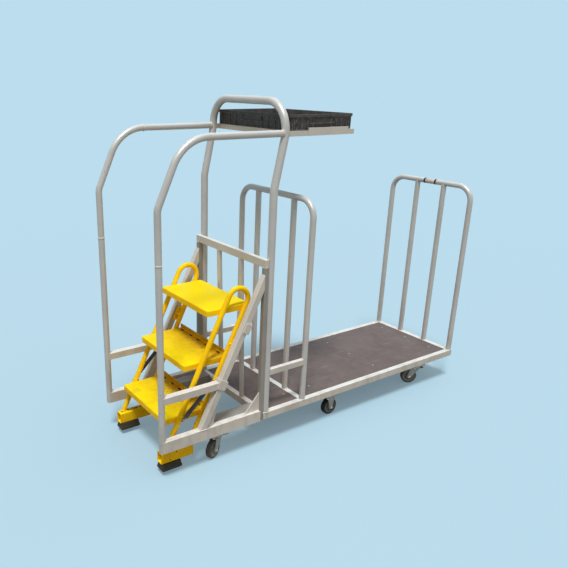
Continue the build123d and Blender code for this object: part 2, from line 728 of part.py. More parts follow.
# Stops fixed round the near, far and back faces of the guide bars, which hold the step unit down
stop_width = STOP_FRONT + STOP_BACK
with BuildPart() as guide_stops:
    for name, side in SIDES:
        with BuildSketch(along_guide(STOP_Z, side * HALF_TRACK)):
            with Locations((0, (STOP_FRONT - STOP_BACK) / 2)):
                Rectangle(2 * COLLAR_OUT, stop_width)
            Rectangle(SQUARE, SQUARE, mode=Mode.SUBTRACT)
        extrude(amount=STOP_L / 2, both=True)
save(guide_stops, "guide_stops")

# Slide brackets: a plate beside each guide bar, a finger behind the bar and a boss on the loop's rear leg
slide_outer = HALF_TRACK - SQUARE / 2 - SLIDE_GAP
slide_inner = slide_outer - SLIDE_T
slide_z = (SLIDE_BOTTOM + SLIDE_TOP) / 2
finger_from = GUIDE_HALF + FINGER_PLAY / cos(radians(GUIDE_LEAN_DEG))
finger_to = finger_from + FINGER_T
rear_leg_z = LOOP_CENTRE_Z - LOOP_R * up_x
rear_leg_x = loop_x + LOOP_R * up_z - (rear_leg_z - slide_z) * tan(loop_lean)
with BuildPart() as slide_brackets:
    for name, side in SIDES:
        for inner, outer, start, stop in (
            (slide_inner, slide_outer, -SLIDE_FRONT, finger_to),
            (slide_outer, HALF_TRACK, finger_from, finger_to),
        ):
            with BuildSketch(across(side * (inner + outer) / 2)):
                with BuildLine():
                    Polyline(
                        (guide_x(SLIDE_BOTTOM) + start, SLIDE_BOTTOM),
                        (guide_x(SLIDE_BOTTOM) + stop, SLIDE_BOTTOM),
                        (guide_x(SLIDE_TOP) + stop, SLIDE_TOP),
                        (guide_x(SLIDE_TOP) + start, SLIDE_TOP),
                        close=True,
                    )
                make_face()
            extrude(amount=(outer - inner) / 2, both=True)
        with BuildSketch(across(side * (LOOP_Y + slide_inner) / 2)):
            with Locations((rear_leg_x, slide_z)):
                Circle(BOSS_D / 2)
        extrude(amount=(slide_inner - LOOP_Y) / 2, both=True)
        add(loops[name], mode=Mode.SUBTRACT)
save(slide_brackets, "slide_brackets")

# Lift springs, each hung on its bracket pin, with its lower eye beside a lug on the step unit
spring_foot_x = MAIN_X - SPRING_FOOT_REACH
spring_run_x = spring_top_x - spring_foot_x
spring_run_z = SPRING_TOP_Z - SPRING_FOOT_Z
spring_length = hypot(spring_run_x, spring_run_z)
with BuildPart() as lift_springs:
    for name, side in SIDES:
        y = side * spring_y
        spring_axis = (spring_run_x, 0, spring_run_z)
        middle = ((spring_top_x + spring_foot_x) / 2, y, (SPRING_TOP_Z + SPRING_FOOT_Z) / 2)
        with BuildSketch(Plane(origin=middle, x_dir=(0, 1, 0), z_dir=spring_axis)):
            Circle(SPRING_D / 2)
        extrude(amount=spring_length / 2 - SPRING_D, both=True)
        with BuildSketch(across(y)):
            with Locations((spring_top_x, SPRING_TOP_Z), (spring_foot_x, SPRING_FOOT_Z)):
                Circle(SPRING_D / 2)
        extrude(amount=SPRING_EYE_T / 2, both=True)
        with BuildSketch(Plane(origin=middle, x_dir=(0, 1, 0), z_dir=spring_axis)):
            Rectangle(SPRING_EYE_T, SPRING_SHANK)
        extrude(amount=spring_length / 2 - SPRING_SHANK / 2, both=True)
        with BuildSketch(across(y)):
            with Locations((spring_top_x, SPRING_TOP_Z)):
                Circle(SPRING_PIN / 2)
        extrude(amount=SPRING_D, both=True, mode=Mode.SUBTRACT)
save(lift_springs, "lift_springs")

lug_outer = spring_y - SPRING_EYE_T / 2 - SPRING_PLAY
with BuildPart() as spring_lugs:
    for name, side in SIDES:
        with BuildSketch(across(side * (lug_outer + LOOP_Y) / 2)):
            with Locations((spring_foot_x, SPRING_FOOT_Z)):
                Circle(LUG_D / 2)
        extrude(amount=(lug_outer - LOOP_Y) / 2, both=True)
        add(loops[name], mode=Mode.SUBTRACT)
save(spring_lugs, "spring_lugs")
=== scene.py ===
import json
import math
import random

import bmesh
import bpy
from mathutils import Matrix, Vector


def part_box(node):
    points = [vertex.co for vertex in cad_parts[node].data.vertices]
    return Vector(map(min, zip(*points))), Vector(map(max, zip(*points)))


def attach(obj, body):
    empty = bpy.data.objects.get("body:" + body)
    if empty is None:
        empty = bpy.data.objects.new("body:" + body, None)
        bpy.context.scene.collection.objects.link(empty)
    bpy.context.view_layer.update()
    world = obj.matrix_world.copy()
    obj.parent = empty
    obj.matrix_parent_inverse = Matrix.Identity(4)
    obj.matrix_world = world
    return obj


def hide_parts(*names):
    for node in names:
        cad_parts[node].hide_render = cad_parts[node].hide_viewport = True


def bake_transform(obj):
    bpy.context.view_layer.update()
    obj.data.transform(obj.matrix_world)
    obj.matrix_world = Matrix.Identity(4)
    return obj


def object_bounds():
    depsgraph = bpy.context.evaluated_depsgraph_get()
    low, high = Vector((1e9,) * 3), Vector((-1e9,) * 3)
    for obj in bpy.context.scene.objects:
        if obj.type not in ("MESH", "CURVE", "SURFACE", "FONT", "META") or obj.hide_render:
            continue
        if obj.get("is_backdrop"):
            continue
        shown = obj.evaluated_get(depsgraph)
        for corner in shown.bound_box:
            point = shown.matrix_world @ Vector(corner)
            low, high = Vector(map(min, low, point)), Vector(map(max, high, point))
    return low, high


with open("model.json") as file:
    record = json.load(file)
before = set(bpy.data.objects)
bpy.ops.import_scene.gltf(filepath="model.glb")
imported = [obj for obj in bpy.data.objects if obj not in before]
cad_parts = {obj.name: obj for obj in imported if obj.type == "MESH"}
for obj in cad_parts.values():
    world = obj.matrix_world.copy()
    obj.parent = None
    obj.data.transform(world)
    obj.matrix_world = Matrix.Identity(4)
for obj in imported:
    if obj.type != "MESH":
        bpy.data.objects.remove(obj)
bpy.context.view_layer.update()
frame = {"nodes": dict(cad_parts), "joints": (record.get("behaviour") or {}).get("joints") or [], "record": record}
nodes = frame["nodes"]
bodies = frame["record"]["behaviour"]["bodies"]
joints = {joint["name"]: joint for joint in frame["joints"]}
random.seed(7)

# Directions of the shared frame
X = Vector((1, 0, 0))
Y = Vector((0, 1, 0))
Z = Vector((0, 0, 1))
SIDES = (("near", -1), ("far", 1))

# Camera, where the photograph was taken from
CAMERA_PLACE = Vector((-2.286, -2.574, 1.849))
# yaw, pitch and roll, in degrees
CAMERA_TURNS = (33.6, 19.9, -0.6)
IMAGE_SIZE = 568
FOCAL_PIXELS = 623.3
CENTRE_PIXEL = (214.5, 305.7)
SENSOR = 36.0

# Stage: the floor's colour where it is seen, and where it only sends light back
BACKDROP = (0.503, 0.723, 0.855)
FLOOR_SEEN = (0.425, 0.611, 0.722)
FLOOR_GLOW = 0.27
FLOOR_BOUNCE = (0.235, 0.21, 0.175)
FLOOR_SIZE = 60.0
FLOOR_FADE = (3.0, 7.0)

# Light: one broad sun, and a sky with an even part and some brighter parts
SUN_FROM = Vector((-0.27, -0.30, 0.92))
SUN_STRENGTH = 2.5
SUN_WIDTH = 12.0
SKY_EVEN = 0.06
# direction of a brighter part, its strength
SKY_PARTS = ((Vector((0.75, -0.55, 0.37)), 0.55), (Vector((-0.90, -0.35, 0.25)), 0.30), (Z, 0.16))
SKY_TINT = (1.0, 0.985, 0.96)

# Steel members
end_hoop_low, end_hoop_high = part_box("end_hoop")
TUBE_R = (end_hoop_high.x - end_hoop_low.x) / 2
GUARD_R = 0.01345
EDGE_R = 0.003
BEAD = 0.0024
half_track = end_hoop_high.y - TUBE_R
HOOP_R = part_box("main_hoop")[1].y - half_track


def in_scene(name, data):
    """A new object in the scene."""
    made = bpy.data.objects.new(name, data)
    bpy.context.scene.collection.objects.link(made)
    return made


def centre_of(node):
    low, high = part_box(node)
    return (low + high) / 2


def shade_smooth(mesh, angle=35.0):
    mesh.polygons.foreach_set("use_smooth", [True] * len(mesh.polygons))
    mesh.set_sharp_from_angle(angle=math.radians(angle))


# Materials

def start_material(name):
    """A new material with its node tree and its shader."""
    made = bpy.data.materials.new(name)
    made.use_nodes = True
    return made, made.node_tree, made.node_tree.nodes["Principled BSDF"]


def put(node, values):
    """Gives a shader node's inputs these values."""
    for name, value in values.items():
        node.inputs[name].default_value = value


def place_of(tree, scale=(1, 1, 1)):
    """Object coordinates, stretched by this scale."""
    source = tree.nodes.new("ShaderNodeTexCoord")
    mapping = tree.nodes.new("ShaderNodeMapping")
    put(mapping, {"Scale": scale})
    tree.links.new(source.outputs["Object"], mapping.inputs["Vector"])
    return mapping.outputs["Vector"]


def noise(tree, scale, detail=4.0, rough=0.55, stretch=(1, 1, 1)):
    made = tree.nodes.new("ShaderNodeTexNoise")
    put(made, {"Scale": scale, "Detail": detail, "Roughness": rough})
    tree.links.new(place_of(tree, stretch), made.inputs["Vector"])
    return made.outputs["Fac"]


def voronoi(tree, scale):
    made = tree.nodes.new("ShaderNodeTexVoronoi")
    put(made, {"Scale": scale})
    tree.links.new(place_of(tree), made.inputs["Vector"])
    return made.outputs["Distance"]


def ramp(tree, value, low, high, start=0.0, stop=1.0):
    """Maps value from low..high to start..stop, clamped."""
    made = tree.nodes.new("ShaderNodeMapRange")
    put(made, {"From Min": low, "From Max": high, "To Min": start, "To Max": stop})
    tree.links.new(value, made.inputs["Value"])
    return made.outputs["Result"]


def mix(tree, share, first, second):
    """Mixes two colours, each a value or a socket, by a share socket."""
    made = tree.nodes.new("ShaderNodeMix")
    made.data_type = "RGBA"
    tree.links.new(share, made.inputs["Factor"])
    for socket, colour in ((made.inputs[6], first), (made.inputs[7], second)):
        if isinstance(colour, tuple):
            socket.default_value = (*colour, 1.0)
        else:
            tree.links.new(colour, socket)
    return made.outputs[2]


def combine(tree, operation, first, second):
    made = tree.nodes.new("ShaderNodeMath")
    made.operation = operation
    for socket, value in zip(made.inputs, (first, second)):
        if isinstance(value, (int, float)):
            socket.default_value = value
        else:
            tree.links.new(value, socket)
    return made.outputs["Value"]


def times(tree, first, second):
    return combine(tree, "MULTIPLY", first, second)


def place_along(tree, axis):
    """The X, Y or Z of the surface point on its own object."""
    split = tree.nodes.new("ShaderNodeSeparateXYZ")
    tree.links.new(place_of(tree), split.inputs["Vector"])
    return split.outputs[axis]


def upward(tree):
    """1 where a surface faces up, falling to 0 on its sides."""
    geometry = tree.nodes.new("ShaderNodeNewGeometry")
    split = tree.nodes.new("ShaderNodeSeparateXYZ")
    tree.links.new(geometry.outputs["Normal"], split.inputs["Vector"])
    return ramp(tree, split.outputs["Z"], 0.3, 0.9)


def worn_edge(tree, radius):
    """1 along the edges of a piece, broken up by noise."""
    bevel = tree.nodes.new("ShaderNodeBevel")
    bevel.samples = 4
    put(bevel, {"Radius": radius})
    geometry = tree.nodes.new("ShaderNodeNewGeometry")
    dot = tree.nodes.new("ShaderNodeVectorMath")
    dot.operation = "DOT_PRODUCT"
    tree.links.new(bevel.outputs["Normal"], dot.inputs[0])
    tree.links.new(geometry.outputs["Normal"], dot.inputs[1])
    turning = ramp(tree, dot.outputs["Value"], 0.96, 0.84)
    return times(tree, turning, ramp(tree, noise(tree, 60, 5), 0.42, 0.6))


def uneven_gloss(tree, shader, scale, detail, low, high):
    """Roughness that wanders between two values."""
    tree.links.new(ramp(tree, noise(tree, scale, detail), 0.3, 0.7, low, high), shader.inputs["Roughness"])


def bump(tree, shader, height, strength, distance):
    made = tree.nodes.new("ShaderNodeBump")
    put(made, {"Strength": strength, "Distance": distance})
    tree.links.new(height, made.inputs["Height"])
    tree.links.new(made.outputs["Normal"], shader.inputs["Normal"])


def frame_paint(name, light, dark, top_highlight, metal, rough, edges=0.5):
    """Silver grey paint on steel, painted lighter where it faces up as a painted top highlight, with faint mottling,
    grime low down and chips.
    """
    made, tree, shader = start_material(name)
    base = mix(tree, ramp(tree, noise(tree, 5), 0.35, 0.65), light, dark)
    fine = mix(tree, ramp(tree, noise(tree, 240, 3), 0.3, 0.75, 0.0, 0.35), base, tuple(c * 1.12 for c in light))
    # lighter tops: a painted highlight of the light from above, not a colour of the paint
    top_lit = mix(tree, times(tree, upward(tree), 0.9), fine, top_highlight)
    low = ramp(tree, place_along(tree, "Z"), 0.75, 0.1)
    smear = ramp(tree, noise(tree, 14, 6, 0.7, (1, 1, 0.35)), 0.46, 0.72)
    grime = times(tree, low, smear)
    dirty = mix(tree, times(tree, grime, 0.5), top_lit, (0.23, 0.185, 0.135))
    chip = ramp(tree, noise(tree, 95, 2, 0.5), 0.73, 0.745)
    chipped = mix(tree, times(tree, chip, 0.7), dirty, (0.16, 0.14, 0.125))
    if edges:
        chipped = mix(tree, times(tree, worn_edge(tree, 0.003), edges), chipped, (0.80, 0.78, 0.74))
    tree.links.new(chipped, shader.inputs["Base Color"])
    uneven_gloss(tree, shader, 30, 5, rough, rough + 0.14)
    put(shader, {"Metallic": metal, "Coat Weight": 0.1, "Coat Roughness": 0.3})
    bump(tree, shader, noise(tree, 320, 3), 0.12, 0.0006)
    return made


def step_yellow(name, darkened_back=None):
    """Yellow powder coat, painted lemon where it faces up as painted top light, scuffed and browned where feet and
    grease reach it, and darker and browner towards the back of the lower treads.

    darkened_back is where, in X, a tread begins to turn darker and browner towards its back, and where this is at
    its full."""
    made, tree, shader = start_material(name)
    base = mix(tree, ramp(tree, noise(tree, 7), 0.35, 0.65), (0.99, 0.615, 0.003), (0.92, 0.53, 0.003))
    top_lit_yellow = mix(tree, ramp(tree, noise(tree, 9, 5), 0.3, 0.7), (0.99, 0.80, 0.004), (0.98, 0.72, 0.002))
    # lemon tops: painted top light, so faces that look up are drawn lighter than the sides
    lit = mix(tree, upward(tree), base, top_lit_yellow)
    faded = mix(tree, ramp(tree, noise(tree, 22, 5), 0.5, 0.78, 0.0, 0.3), lit, (0.98, 0.78, 0.03))
    if darkened_back:
        # darker and browner in patches towards the back of the tread, with fine dark specks
        back = ramp(tree, place_along(tree, "X"), *darkened_back)
        patchy = times(tree, back, ramp(tree, noise(tree, 13, 6, 0.68), 0.2, 0.56))
        browned_back = mix(tree, times(tree, patchy, 0.85), faded, (0.62, 0.33, 0.008))
        grit = times(tree, back, ramp(tree, noise(tree, 55, 5, 0.65), 0.56, 0.66))
        faded = mix(tree, times(tree, grit, 0.6), browned_back, (0.20, 0.11, 0.01))
    trodden = times(tree, upward(tree), ramp(tree, noise(tree, 11, 7, 0.72), 0.5, 0.7))
    below = ramp(tree, place_along(tree, "Z"), 0.70, 0.45, 0.2, 1.0)
    worn = times(tree, trodden, below)
    dusty = mix(tree, times(tree, worn, 0.6), faded, (0.66, 0.38, 0.006))
    spots = times(tree, ramp(tree, noise(tree, 70, 3, 0.6), 0.66, 0.72), below)
    spotted = mix(tree, times(tree, spots, 0.5), dusty, (0.30, 0.16, 0.01))
    low = ramp(tree, place_along(tree, "Z"), 0.5, 0.06)
    smear = times(tree, low, ramp(tree, noise(tree, 18, 6, 0.7), 0.45, 0.7))
    dirty = mix(tree, times(tree, smear, 0.22), spotted, (0.34, 0.18, 0.01))
    rubbed = mix(tree, times(tree, worn_edge(tree, 0.0025), 0.5), dirty, (0.98, 0.80, 0.06))
    tree.links.new(rubbed, shader.inputs["Base Color"])
    uneven_gloss(tree, shader, 26, 5, 0.42, 0.6)
    put(shader, {"Specular IOR Level": 0.12})
    bump(tree, shader, noise(tree, 260, 3), 0.14, 0.0006)
    return made


def board_film(name):
    """Dark brown film on plywood, pressed with a fine wire mesh, scratched and dusty."""
    made, tree, shader = start_material(name)
    base = mix(tree, ramp(tree, noise(tree, 3.5, 6), 0.35, 0.65), (0.136, 0.102, 0.094), (0.165, 0.126, 0.116))
    dust = ramp(tree, noise(tree, 9, 8, 0.75), 0.5, 0.75)
    dusty = mix(tree, times(tree, dust, 0.4), base, (0.26, 0.225, 0.205))
    scratch = ramp(tree, noise(tree, 16, 6, 0.6, (0.25, 3.5, 1)), 0.62, 0.68)
    scratched = mix(tree, times(tree, scratch, 0.35), dusty, (0.31, 0.27, 0.25))
    speck = ramp(tree, noise(tree, 130, 2, 0.5), 0.71, 0.74)
    flecked = mix(tree, times(tree, speck, 0.6), scratched, (0.42, 0.37, 0.34))
    tree.links.new(flecked, shader.inputs["Base Color"])
    uneven_gloss(tree, shader, 20, 5, 0.42, 0.62)
    put(shader, {"Specular IOR Level": 0.25})
    bump(tree, shader, ramp(tree, voronoi(tree, 260), 0.0, 0.5), 0.35, 0.0008)
    return made


def plated_steel(name, colour, shade, roughness, metal=0.75):
    """Zinc plated sheet with a streaky dull bloom."""
    made, tree, shader = start_material(name)
    base = mix(tree, ramp(tree, noise(tree, 28, 6), 0.35, 0.65), colour, shade)
    bloom = ramp(tree, noise(tree, 110, 4, 0.6, (1, 1, 0.4)), 0.55, 0.8, 0.0, 0.5)
    dull = mix(tree, bloom, base, tuple(c * 0.55 for c in colour))
    tree.links.new(dull, shader.inputs["Base Color"])
    uneven_gloss(tree, shader, 60, 4, roughness, roughness + 0.18)
    put(shader, {"Metallic": metal})
    bump(tree, shader, noise(tree, 400, 3), 0.1, 0.0004)
    return made


def moulded(name, colour, dust, roughness, grain=420, dusting=0.35, edge_rub_and_highlight=(0.0015, 0.5)):
    """Moulded rubber or plastic with a fine grain and settled dust."""
    made, tree, shader = start_material(name)
    shade = tuple(c * 0.7 for c in colour)
    base = mix(tree, ramp(tree, noise(tree, 20, 5), 0.35, 0.65), colour, shade)
    settled = ramp(tree, noise(tree, 34, 7, 0.7), 0.45, 0.72)
    dusty = mix(tree, times(tree, settled, dusting), base, dust)
    # edges lightened towards the dust colour: rubbed wear, and on the tray at full strength also a painted highlight
    # along its rims
    rubbed = mix(tree, times(tree, worn_edge(tree, edge_rub_and_highlight[0]), edge_rub_and_highlight[1]), dusty, dust)
    tree.links.new(rubbed, shader.inputs["Base Color"])
    uneven_gloss(tree, shader, 40, 4, roughness, roughness + 0.15)
    put(shader, {"Specular IOR Level": 0.3})
    bump(tree, shader, noise(tree, grain, 3), 0.2, 0.0005)
    return made


# Where the lower treads begin to turn darker and browner towards their back, and where this is at its full, in X
DARKENED_BACKS = {name: (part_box("tread_" + name)[0].x + 0.06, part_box("tread_" + name)[1].x - 0.04)
              for name in ("bottom", "middle")}
YELLOW_BACKS = {"yellow_" + name: back for name, back in DARKENED_BACKS.items()}
# name of the finish: what makes it, and its values
FINISH_ROWS = {
    # the third colour of each paint row is the painted top highlight, mixed in where a face looks up
    "frame_paint": (frame_paint, (0.60, 0.548, 0.48), (0.53, 0.483, 0.42), (0.87, 0.855, 0.81), 0.08, 0.38),
    "tube_paint": (frame_paint, (0.57, 0.535, 0.495), (0.50, 0.465, 0.43), (0.80, 0.785, 0.76), 0.22, 0.30, 0.0),
    # a darker copy of the frame paint, its tops too, as painted shade for the uprights and the castor beams
    "grimy_paint": (frame_paint, (0.30, 0.272, 0.238), (0.25, 0.228, 0.2), (0.33, 0.32, 0.295), 0.08, 0.45),
    "step_yellow": (step_yellow,),
    **{name: (step_yellow, back) for name, back in YELLOW_BACKS.items()},
    "board": (board_film,),
    "zinc": (plated_steel, (0.46, 0.43, 0.37), (0.33, 0.305, 0.26), 0.38, 0.45),
    "screw": (plated_steel, (0.72, 0.70, 0.64), (0.55, 0.53, 0.48), 0.28),
    "wheel_core": (moulded, (0.25, 0.235, 0.215), (0.36, 0.33, 0.28), 0.5),
    "dusty_core": (moulded, (0.38, 0.355, 0.32), (0.46, 0.42, 0.36), 0.55),
    "dusty_tyre": (moulded, (0.125, 0.113, 0.098), (0.25, 0.225, 0.19), 0.6, 420, 0.5),
    "tyre": (moulded, (0.022, 0.021, 0.020), (0.10, 0.09, 0.08), 0.55, 420, 0.12),
    "pad_rubber": (moulded, (0.042, 0.030, 0.016), (0.12, 0.085, 0.045), 0.55, 420, 0.3),
    "spring_dark": (plated_steel, (0.16, 0.145, 0.13), (0.09, 0.08, 0.07), 0.38),
    # the tray's edges are lightened at full strength: scuffs, and a painted highlight along the rims
    "tray_plastic": (moulded, (0.066, 0.056, 0.050), (0.36, 0.335, 0.315), 0.44, 420, 0.16, (0.003, 1.0)),
    "label": (moulded, (0.74, 0.72, 0.68), (0.5, 0.47, 0.42), 0.4, 300, 0.2),
    "tape": (moulded, (0.016, 0.015, 0.015), (0.08, 0.07, 0.065), 0.38),
}
FINISH = {name: make(name, *values) for name, (make, *values) in FINISH_ROWS.items()}


# Mesh helpers: each returns a mesh in the shared frame

def mesh_from(bm, matrix):
    mesh = bpy.data.meshes.new("part")
    bm.normal_update()
    bm.to_mesh(mesh)
    bm.free()
    mesh.transform(matrix)
    return mesh


def evaluated(holder):
    """The mesh of an object with its modifiers, or of its curve."""
    bpy.context.view_layer.update()
    return bpy.data.meshes.new_from_object(holder.evaluated_get(bpy.context.evaluated_depsgraph_get()))


def add_line(curve, points, closed):
    line = curve.splines.new("POLY")
    line.points.add(len(points) - 1)
    for index, point in enumerate(points):
        line.points[index].co = Vector(point).to_4d()
    line.use_cyclic_u = closed
    return line


def from_curve(curve):
    """The mesh of a curve, which is then thrown away."""
    holder = in_scene("holder", curve)
    mesh = evaluated(holder)
    bpy.data.objects.remove(holder)
    bpy.data.curves.remove(curve)
    return mesh


def rod(points, radius, ring, closed=False, radii=()):
    """A round rod or bead along these points, ring being how finely it is rounded."""
    curve = bpy.data.curves.new("rod", "CURVE")
    curve.dimensions = "3D"
    curve.bevel_depth = radius
    curve.bevel_resolution = ring
    curve.use_fill_caps = True
    line = add_line(curve, points, closed)
    for index, share in enumerate(radii):
        line.points[index].radius = share
    return from_curve(curve)


def axes(origin, along, out):
    """Matrix whose Z is out and whose X is as near to along as it can be."""
    w = Vector(out).normalized()
    u = (Vector(along) - w * Vector(along).dot(w)).normalized()
    v = w.cross(u)
    return Matrix.Translation(origin) @ Matrix((u, v, w)).transposed().to_4x4()


def facing(place, out):
    """Matrix at this place whose Z is out."""
    return axes(place, X if abs(Vector(out).x) < 0.9 else Y, out)


def arc(cx, cy, radius, start, stop, steps):
    """Points on an arc, with its angles in degrees."""
    angles = [math.radians(start + (stop - start) * i / steps) for i in range(steps + 1)]
    return [(cx + radius * math.cos(a), cy + radius * math.sin(a)) for a in angles]


def ring_of(radius, steps):
    return arc(0, 0, radius, 0, 360, steps)[:-1]


def rounded(width, height, radius, cx=0.0, cy=0.0, steps=5):
    """Outline of a rectangle with round corners."""
    points = []
    for sx, sy, start in ((1, 1, 0), (-1, 1, 90), (-1, -1, 180), (1, -1, 270)):
        corner = (cx + sx * (width / 2 - radius), cy + sy * (height / 2 - radius))
        points += arc(*corner, radius, start, start + 90, steps)
    return points


def plate(outline, holes, thickness, matrix, edge=0.0006):
    """A flat plate with holes and softened edges, centred on its thickness."""
    curve = bpy.data.curves.new("plate", "CURVE")
    curve.dimensions = "2D"
    curve.fill_mode = "BOTH"
    curve.extrude = thickness / 2 - edge
    curve.bevel_depth = edge
    curve.bevel_resolution = 1
    curve.offset = -edge
    for points in [outline, *holes]:
        add_line(curve, points, True)
    mesh = from_curve(curve)
    mesh.transform(matrix)
    return mesh


def turned(profile, matrix, steps=40):
    """A body of revolution about the matrix's Z, from (radius, height) points."""
    bm = bmesh.new()
    rings = []
    for radius, height in profile:
        if radius < 1e-6:
            rings.append([bm.verts.new((0, 0, height))])
        else:
            rings.append([bm.verts.new((x, y, height)) for x, y in ring_of(radius, steps)])
    for lower, upper in zip(rings, rings[1:]):
        for i in range(steps):
            j = (i + 1) % steps
            corners = [lower[i % len(lower)], lower[j % len(lower)], upper[j % len(upper)], upper[i % len(upper)]]
            unique = list(dict.fromkeys(corners))
            if len(unique) > 2:
                bm.faces.new(unique)
    bmesh.ops.recalc_face_normals(bm, faces=bm.faces)
    return mesh_from(bm, matrix)


def block(size, matrix, edge=0.001, segments=2):
    """A box with softened edges."""
    bm = bmesh.new()
    bmesh.ops.create_cube(bm, size=1.0)
    bmesh.ops.scale(bm, vec=size, verts=bm.verts)
    bmesh.ops.bevel(bm, geom=bm.edges[:], offset=edge, segments=segments, profile=0.5, affect="EDGES")
    return mesh_from(bm, matrix)


def hexagon(across_flats):
    return ring_of(across_flats / math.sqrt(3), 6)


def bolt_head(place, out, across_flats=0.013, height=0.0055, washer=0.018):
    """A hexagon head on its washer, lying on the surface at place."""
    turn = random.uniform(0, 60)
    matrix = facing(place, out) @ Matrix.Rotation(math.radians(turn), 4, "Z")
    ring = turned(
        ((0.0, 0.0), (washer / 2, 0.0), (washer / 2, 0.0013), (washer / 2 - 0.0004, 0.0017), (0.0, 0.0017)),
        matrix, 28)
    head = plate(hexagon(across_flats), [], height, matrix @ Matrix.Translation((0, 0, 0.0016 + height / 2)), 0.0009)
    return [ring, head]


def bead(points, closed=False, size=BEAD):
    """A weld bead along a line, with the ripples that its runs leave."""
    radii = [1.0 + 0.16 * math.sin(2.4 * i) + random.uniform(-0.12, 0.12) for i in range(len(points))]
    return rod(points, size, 2, closed, radii)


def ring_bead(place, out, radius, size=BEAD):
    """A weld bead round a tube of this radius."""
    matrix = facing(place, out)
    steps = max(24, int(radius * 2 * math.pi / 0.0028))
    return bead([matrix @ Vector((x, y, 0)) for x, y in ring_of(radius, steps)], True, size)


def line_bead(start, stop, size=BEAD):
    start = Vector(start)
    stop = Vector(stop)
    steps = max(4, int((stop - start).length / 0.003))
    return bead([start.lerp(stop, i / steps) for i in range(steps + 1)], size=size)


def across_bead(x, y, half, z):
    """A weld bead along Y, this far to each side of y."""
    return line_bead((x, y - half, z), (x, y + half, z))


def rail_bead(low, high, z):
    """Weld beads round a rectangle at this height, from two of its corners."""
    corners = [Vector((x, y, z)) for x, y in (low, (high[0], low[1]), high, (low[0], high[1]))]
    return [line_bead(a, b) for a, b in zip(corners, corners[1:] + corners[:1])]


def piece(name, parts, body, finish, replaced=(), angle=35.0):
    """One object made of several meshes, riding on a body."""
    joined = bmesh.new()
    for part in parts:
        joined.from_mesh(part)
        bpy.data.meshes.remove(part)
    mesh = bpy.data.meshes.new(name)
    joined.to_mesh(mesh)
    joined.free()
    shade_smooth(mesh, angle)
    mesh.materials.clear()
    mesh.materials.append(FINISH[finish])
    made = in_scene(name, mesh)
    if body:
        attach(made, body)
    if replaced:
        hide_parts(*replaced)
    return made


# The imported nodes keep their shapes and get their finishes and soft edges

def soften(node, width):
    """Rounds a sharp node's edges."""
    obj = nodes[node]
    weld = obj.modifiers.new("weld", "WELD")
    weld.merge_threshold = 0.00002
    edge = obj.modifiers.new("edge", "BEVEL")
    edge.width = width
    edge.segments = 3
    edge.limit_method = "ANGLE"
    edge.angle_limit = math.radians(50)
    edge.harden_normals = True


ROUND_TUBES = ("main_hoop", "end_hoop", "end_hoop_bars", "middle_hoop", "middle_hoop_bars", "handrail_near",
               "handrail_far", "guard_bars")
# the uprights and the castor beams get the darker paint as painted shade
SHADE_DARKENED_NODES = ("uprights", "castor_beams")
finish_of_node = {row["node"]: row["material_slot"] for row in frame["record"]["subparts"]}
finish_of_node.update(dict.fromkeys(ROUND_TUBES, "tube_paint"))
finish_of_node.update(dict.fromkeys(SHADE_DARKENED_NODES, "grimy_paint"))
for node, obj in nodes.items():
    obj.data.materials.clear()
    obj.data.materials.append(FINISH[finish_of_node[node]])

SOFT_EDGES = (
    ("deck_frame", 0.0025), ("side_rails", EDGE_R), ("uprights", 0.0025), ("crossbar", 0.0025),
    ("guide_bar_near", EDGE_R), ("guide_bar_far", EDGE_R), ("upper_arms", EDGE_R), ("hoop_struts", 0.002),
    ("castor_beams", EDGE_R), ("castor_seats", 0.002), ("guide_brackets", 0.0022), ("guide_stops", 0.0022),
    ("gussets", 0.0012), ("shelf_frame", 0.002), ("shelf_side_plates", 0.0008), ("deck_boards", 0.0006),
    ("slide_brackets", 0.0008),
)
for node, width in SOFT_EDGES:
    soften(node, width)

# Screws that hold the deck boards
SCREW_R = 0.0055
SCREW_X = (-0.057, 0.468, 0.994, -0.395, -0.243)
SCREW_Y = 0.203
CROSS_SLOT = (0.0052, 0.0011)


def screw(place):
    """A countersunk head with a shallow dish, and its cross recess drawn as two dark blocks of painted shade."""
    matrix = axes(place, X, Z) @ Matrix.Rotation(random.uniform(0, math.pi), 4, "Z")
    rim = turned(
        ((SCREW_R, -0.0010), (SCREW_R, 0.0), (SCREW_R * 0.86, 0.0005), (SCREW_R * 0.45, 0.0006),
         (SCREW_R * 0.30, -0.0006), (0.0, -0.0012)), matrix, 28)
    wings = [
        block((*CROSS_SLOT, 0.0004), matrix @ Matrix.Rotation(turn, 4, "Z") @ Matrix.Translation((0, 0, 0.0006)),
              0.0001, 1)
        for turn in (0.0, math.pi / 2)
    ]
    return rim, wings


board_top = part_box("deck_boards")[1].z
screw_heads = []
screw_recess_shades = []
for x in SCREW_X:
    for y in (-SCREW_Y, 0.0, SCREW_Y):
        head, shade_marks = screw(Vector((x, y, board_top)))
        screw_heads.append(head)
        screw_recess_shades += shade_marks
# dark crosses on the screw heads: painted shade standing for the recesses
piece("deck_screws", screw_heads, "frame", "screw")
piece("deck_screw_recess_shades", screw_recess_shades, "frame", "tape")

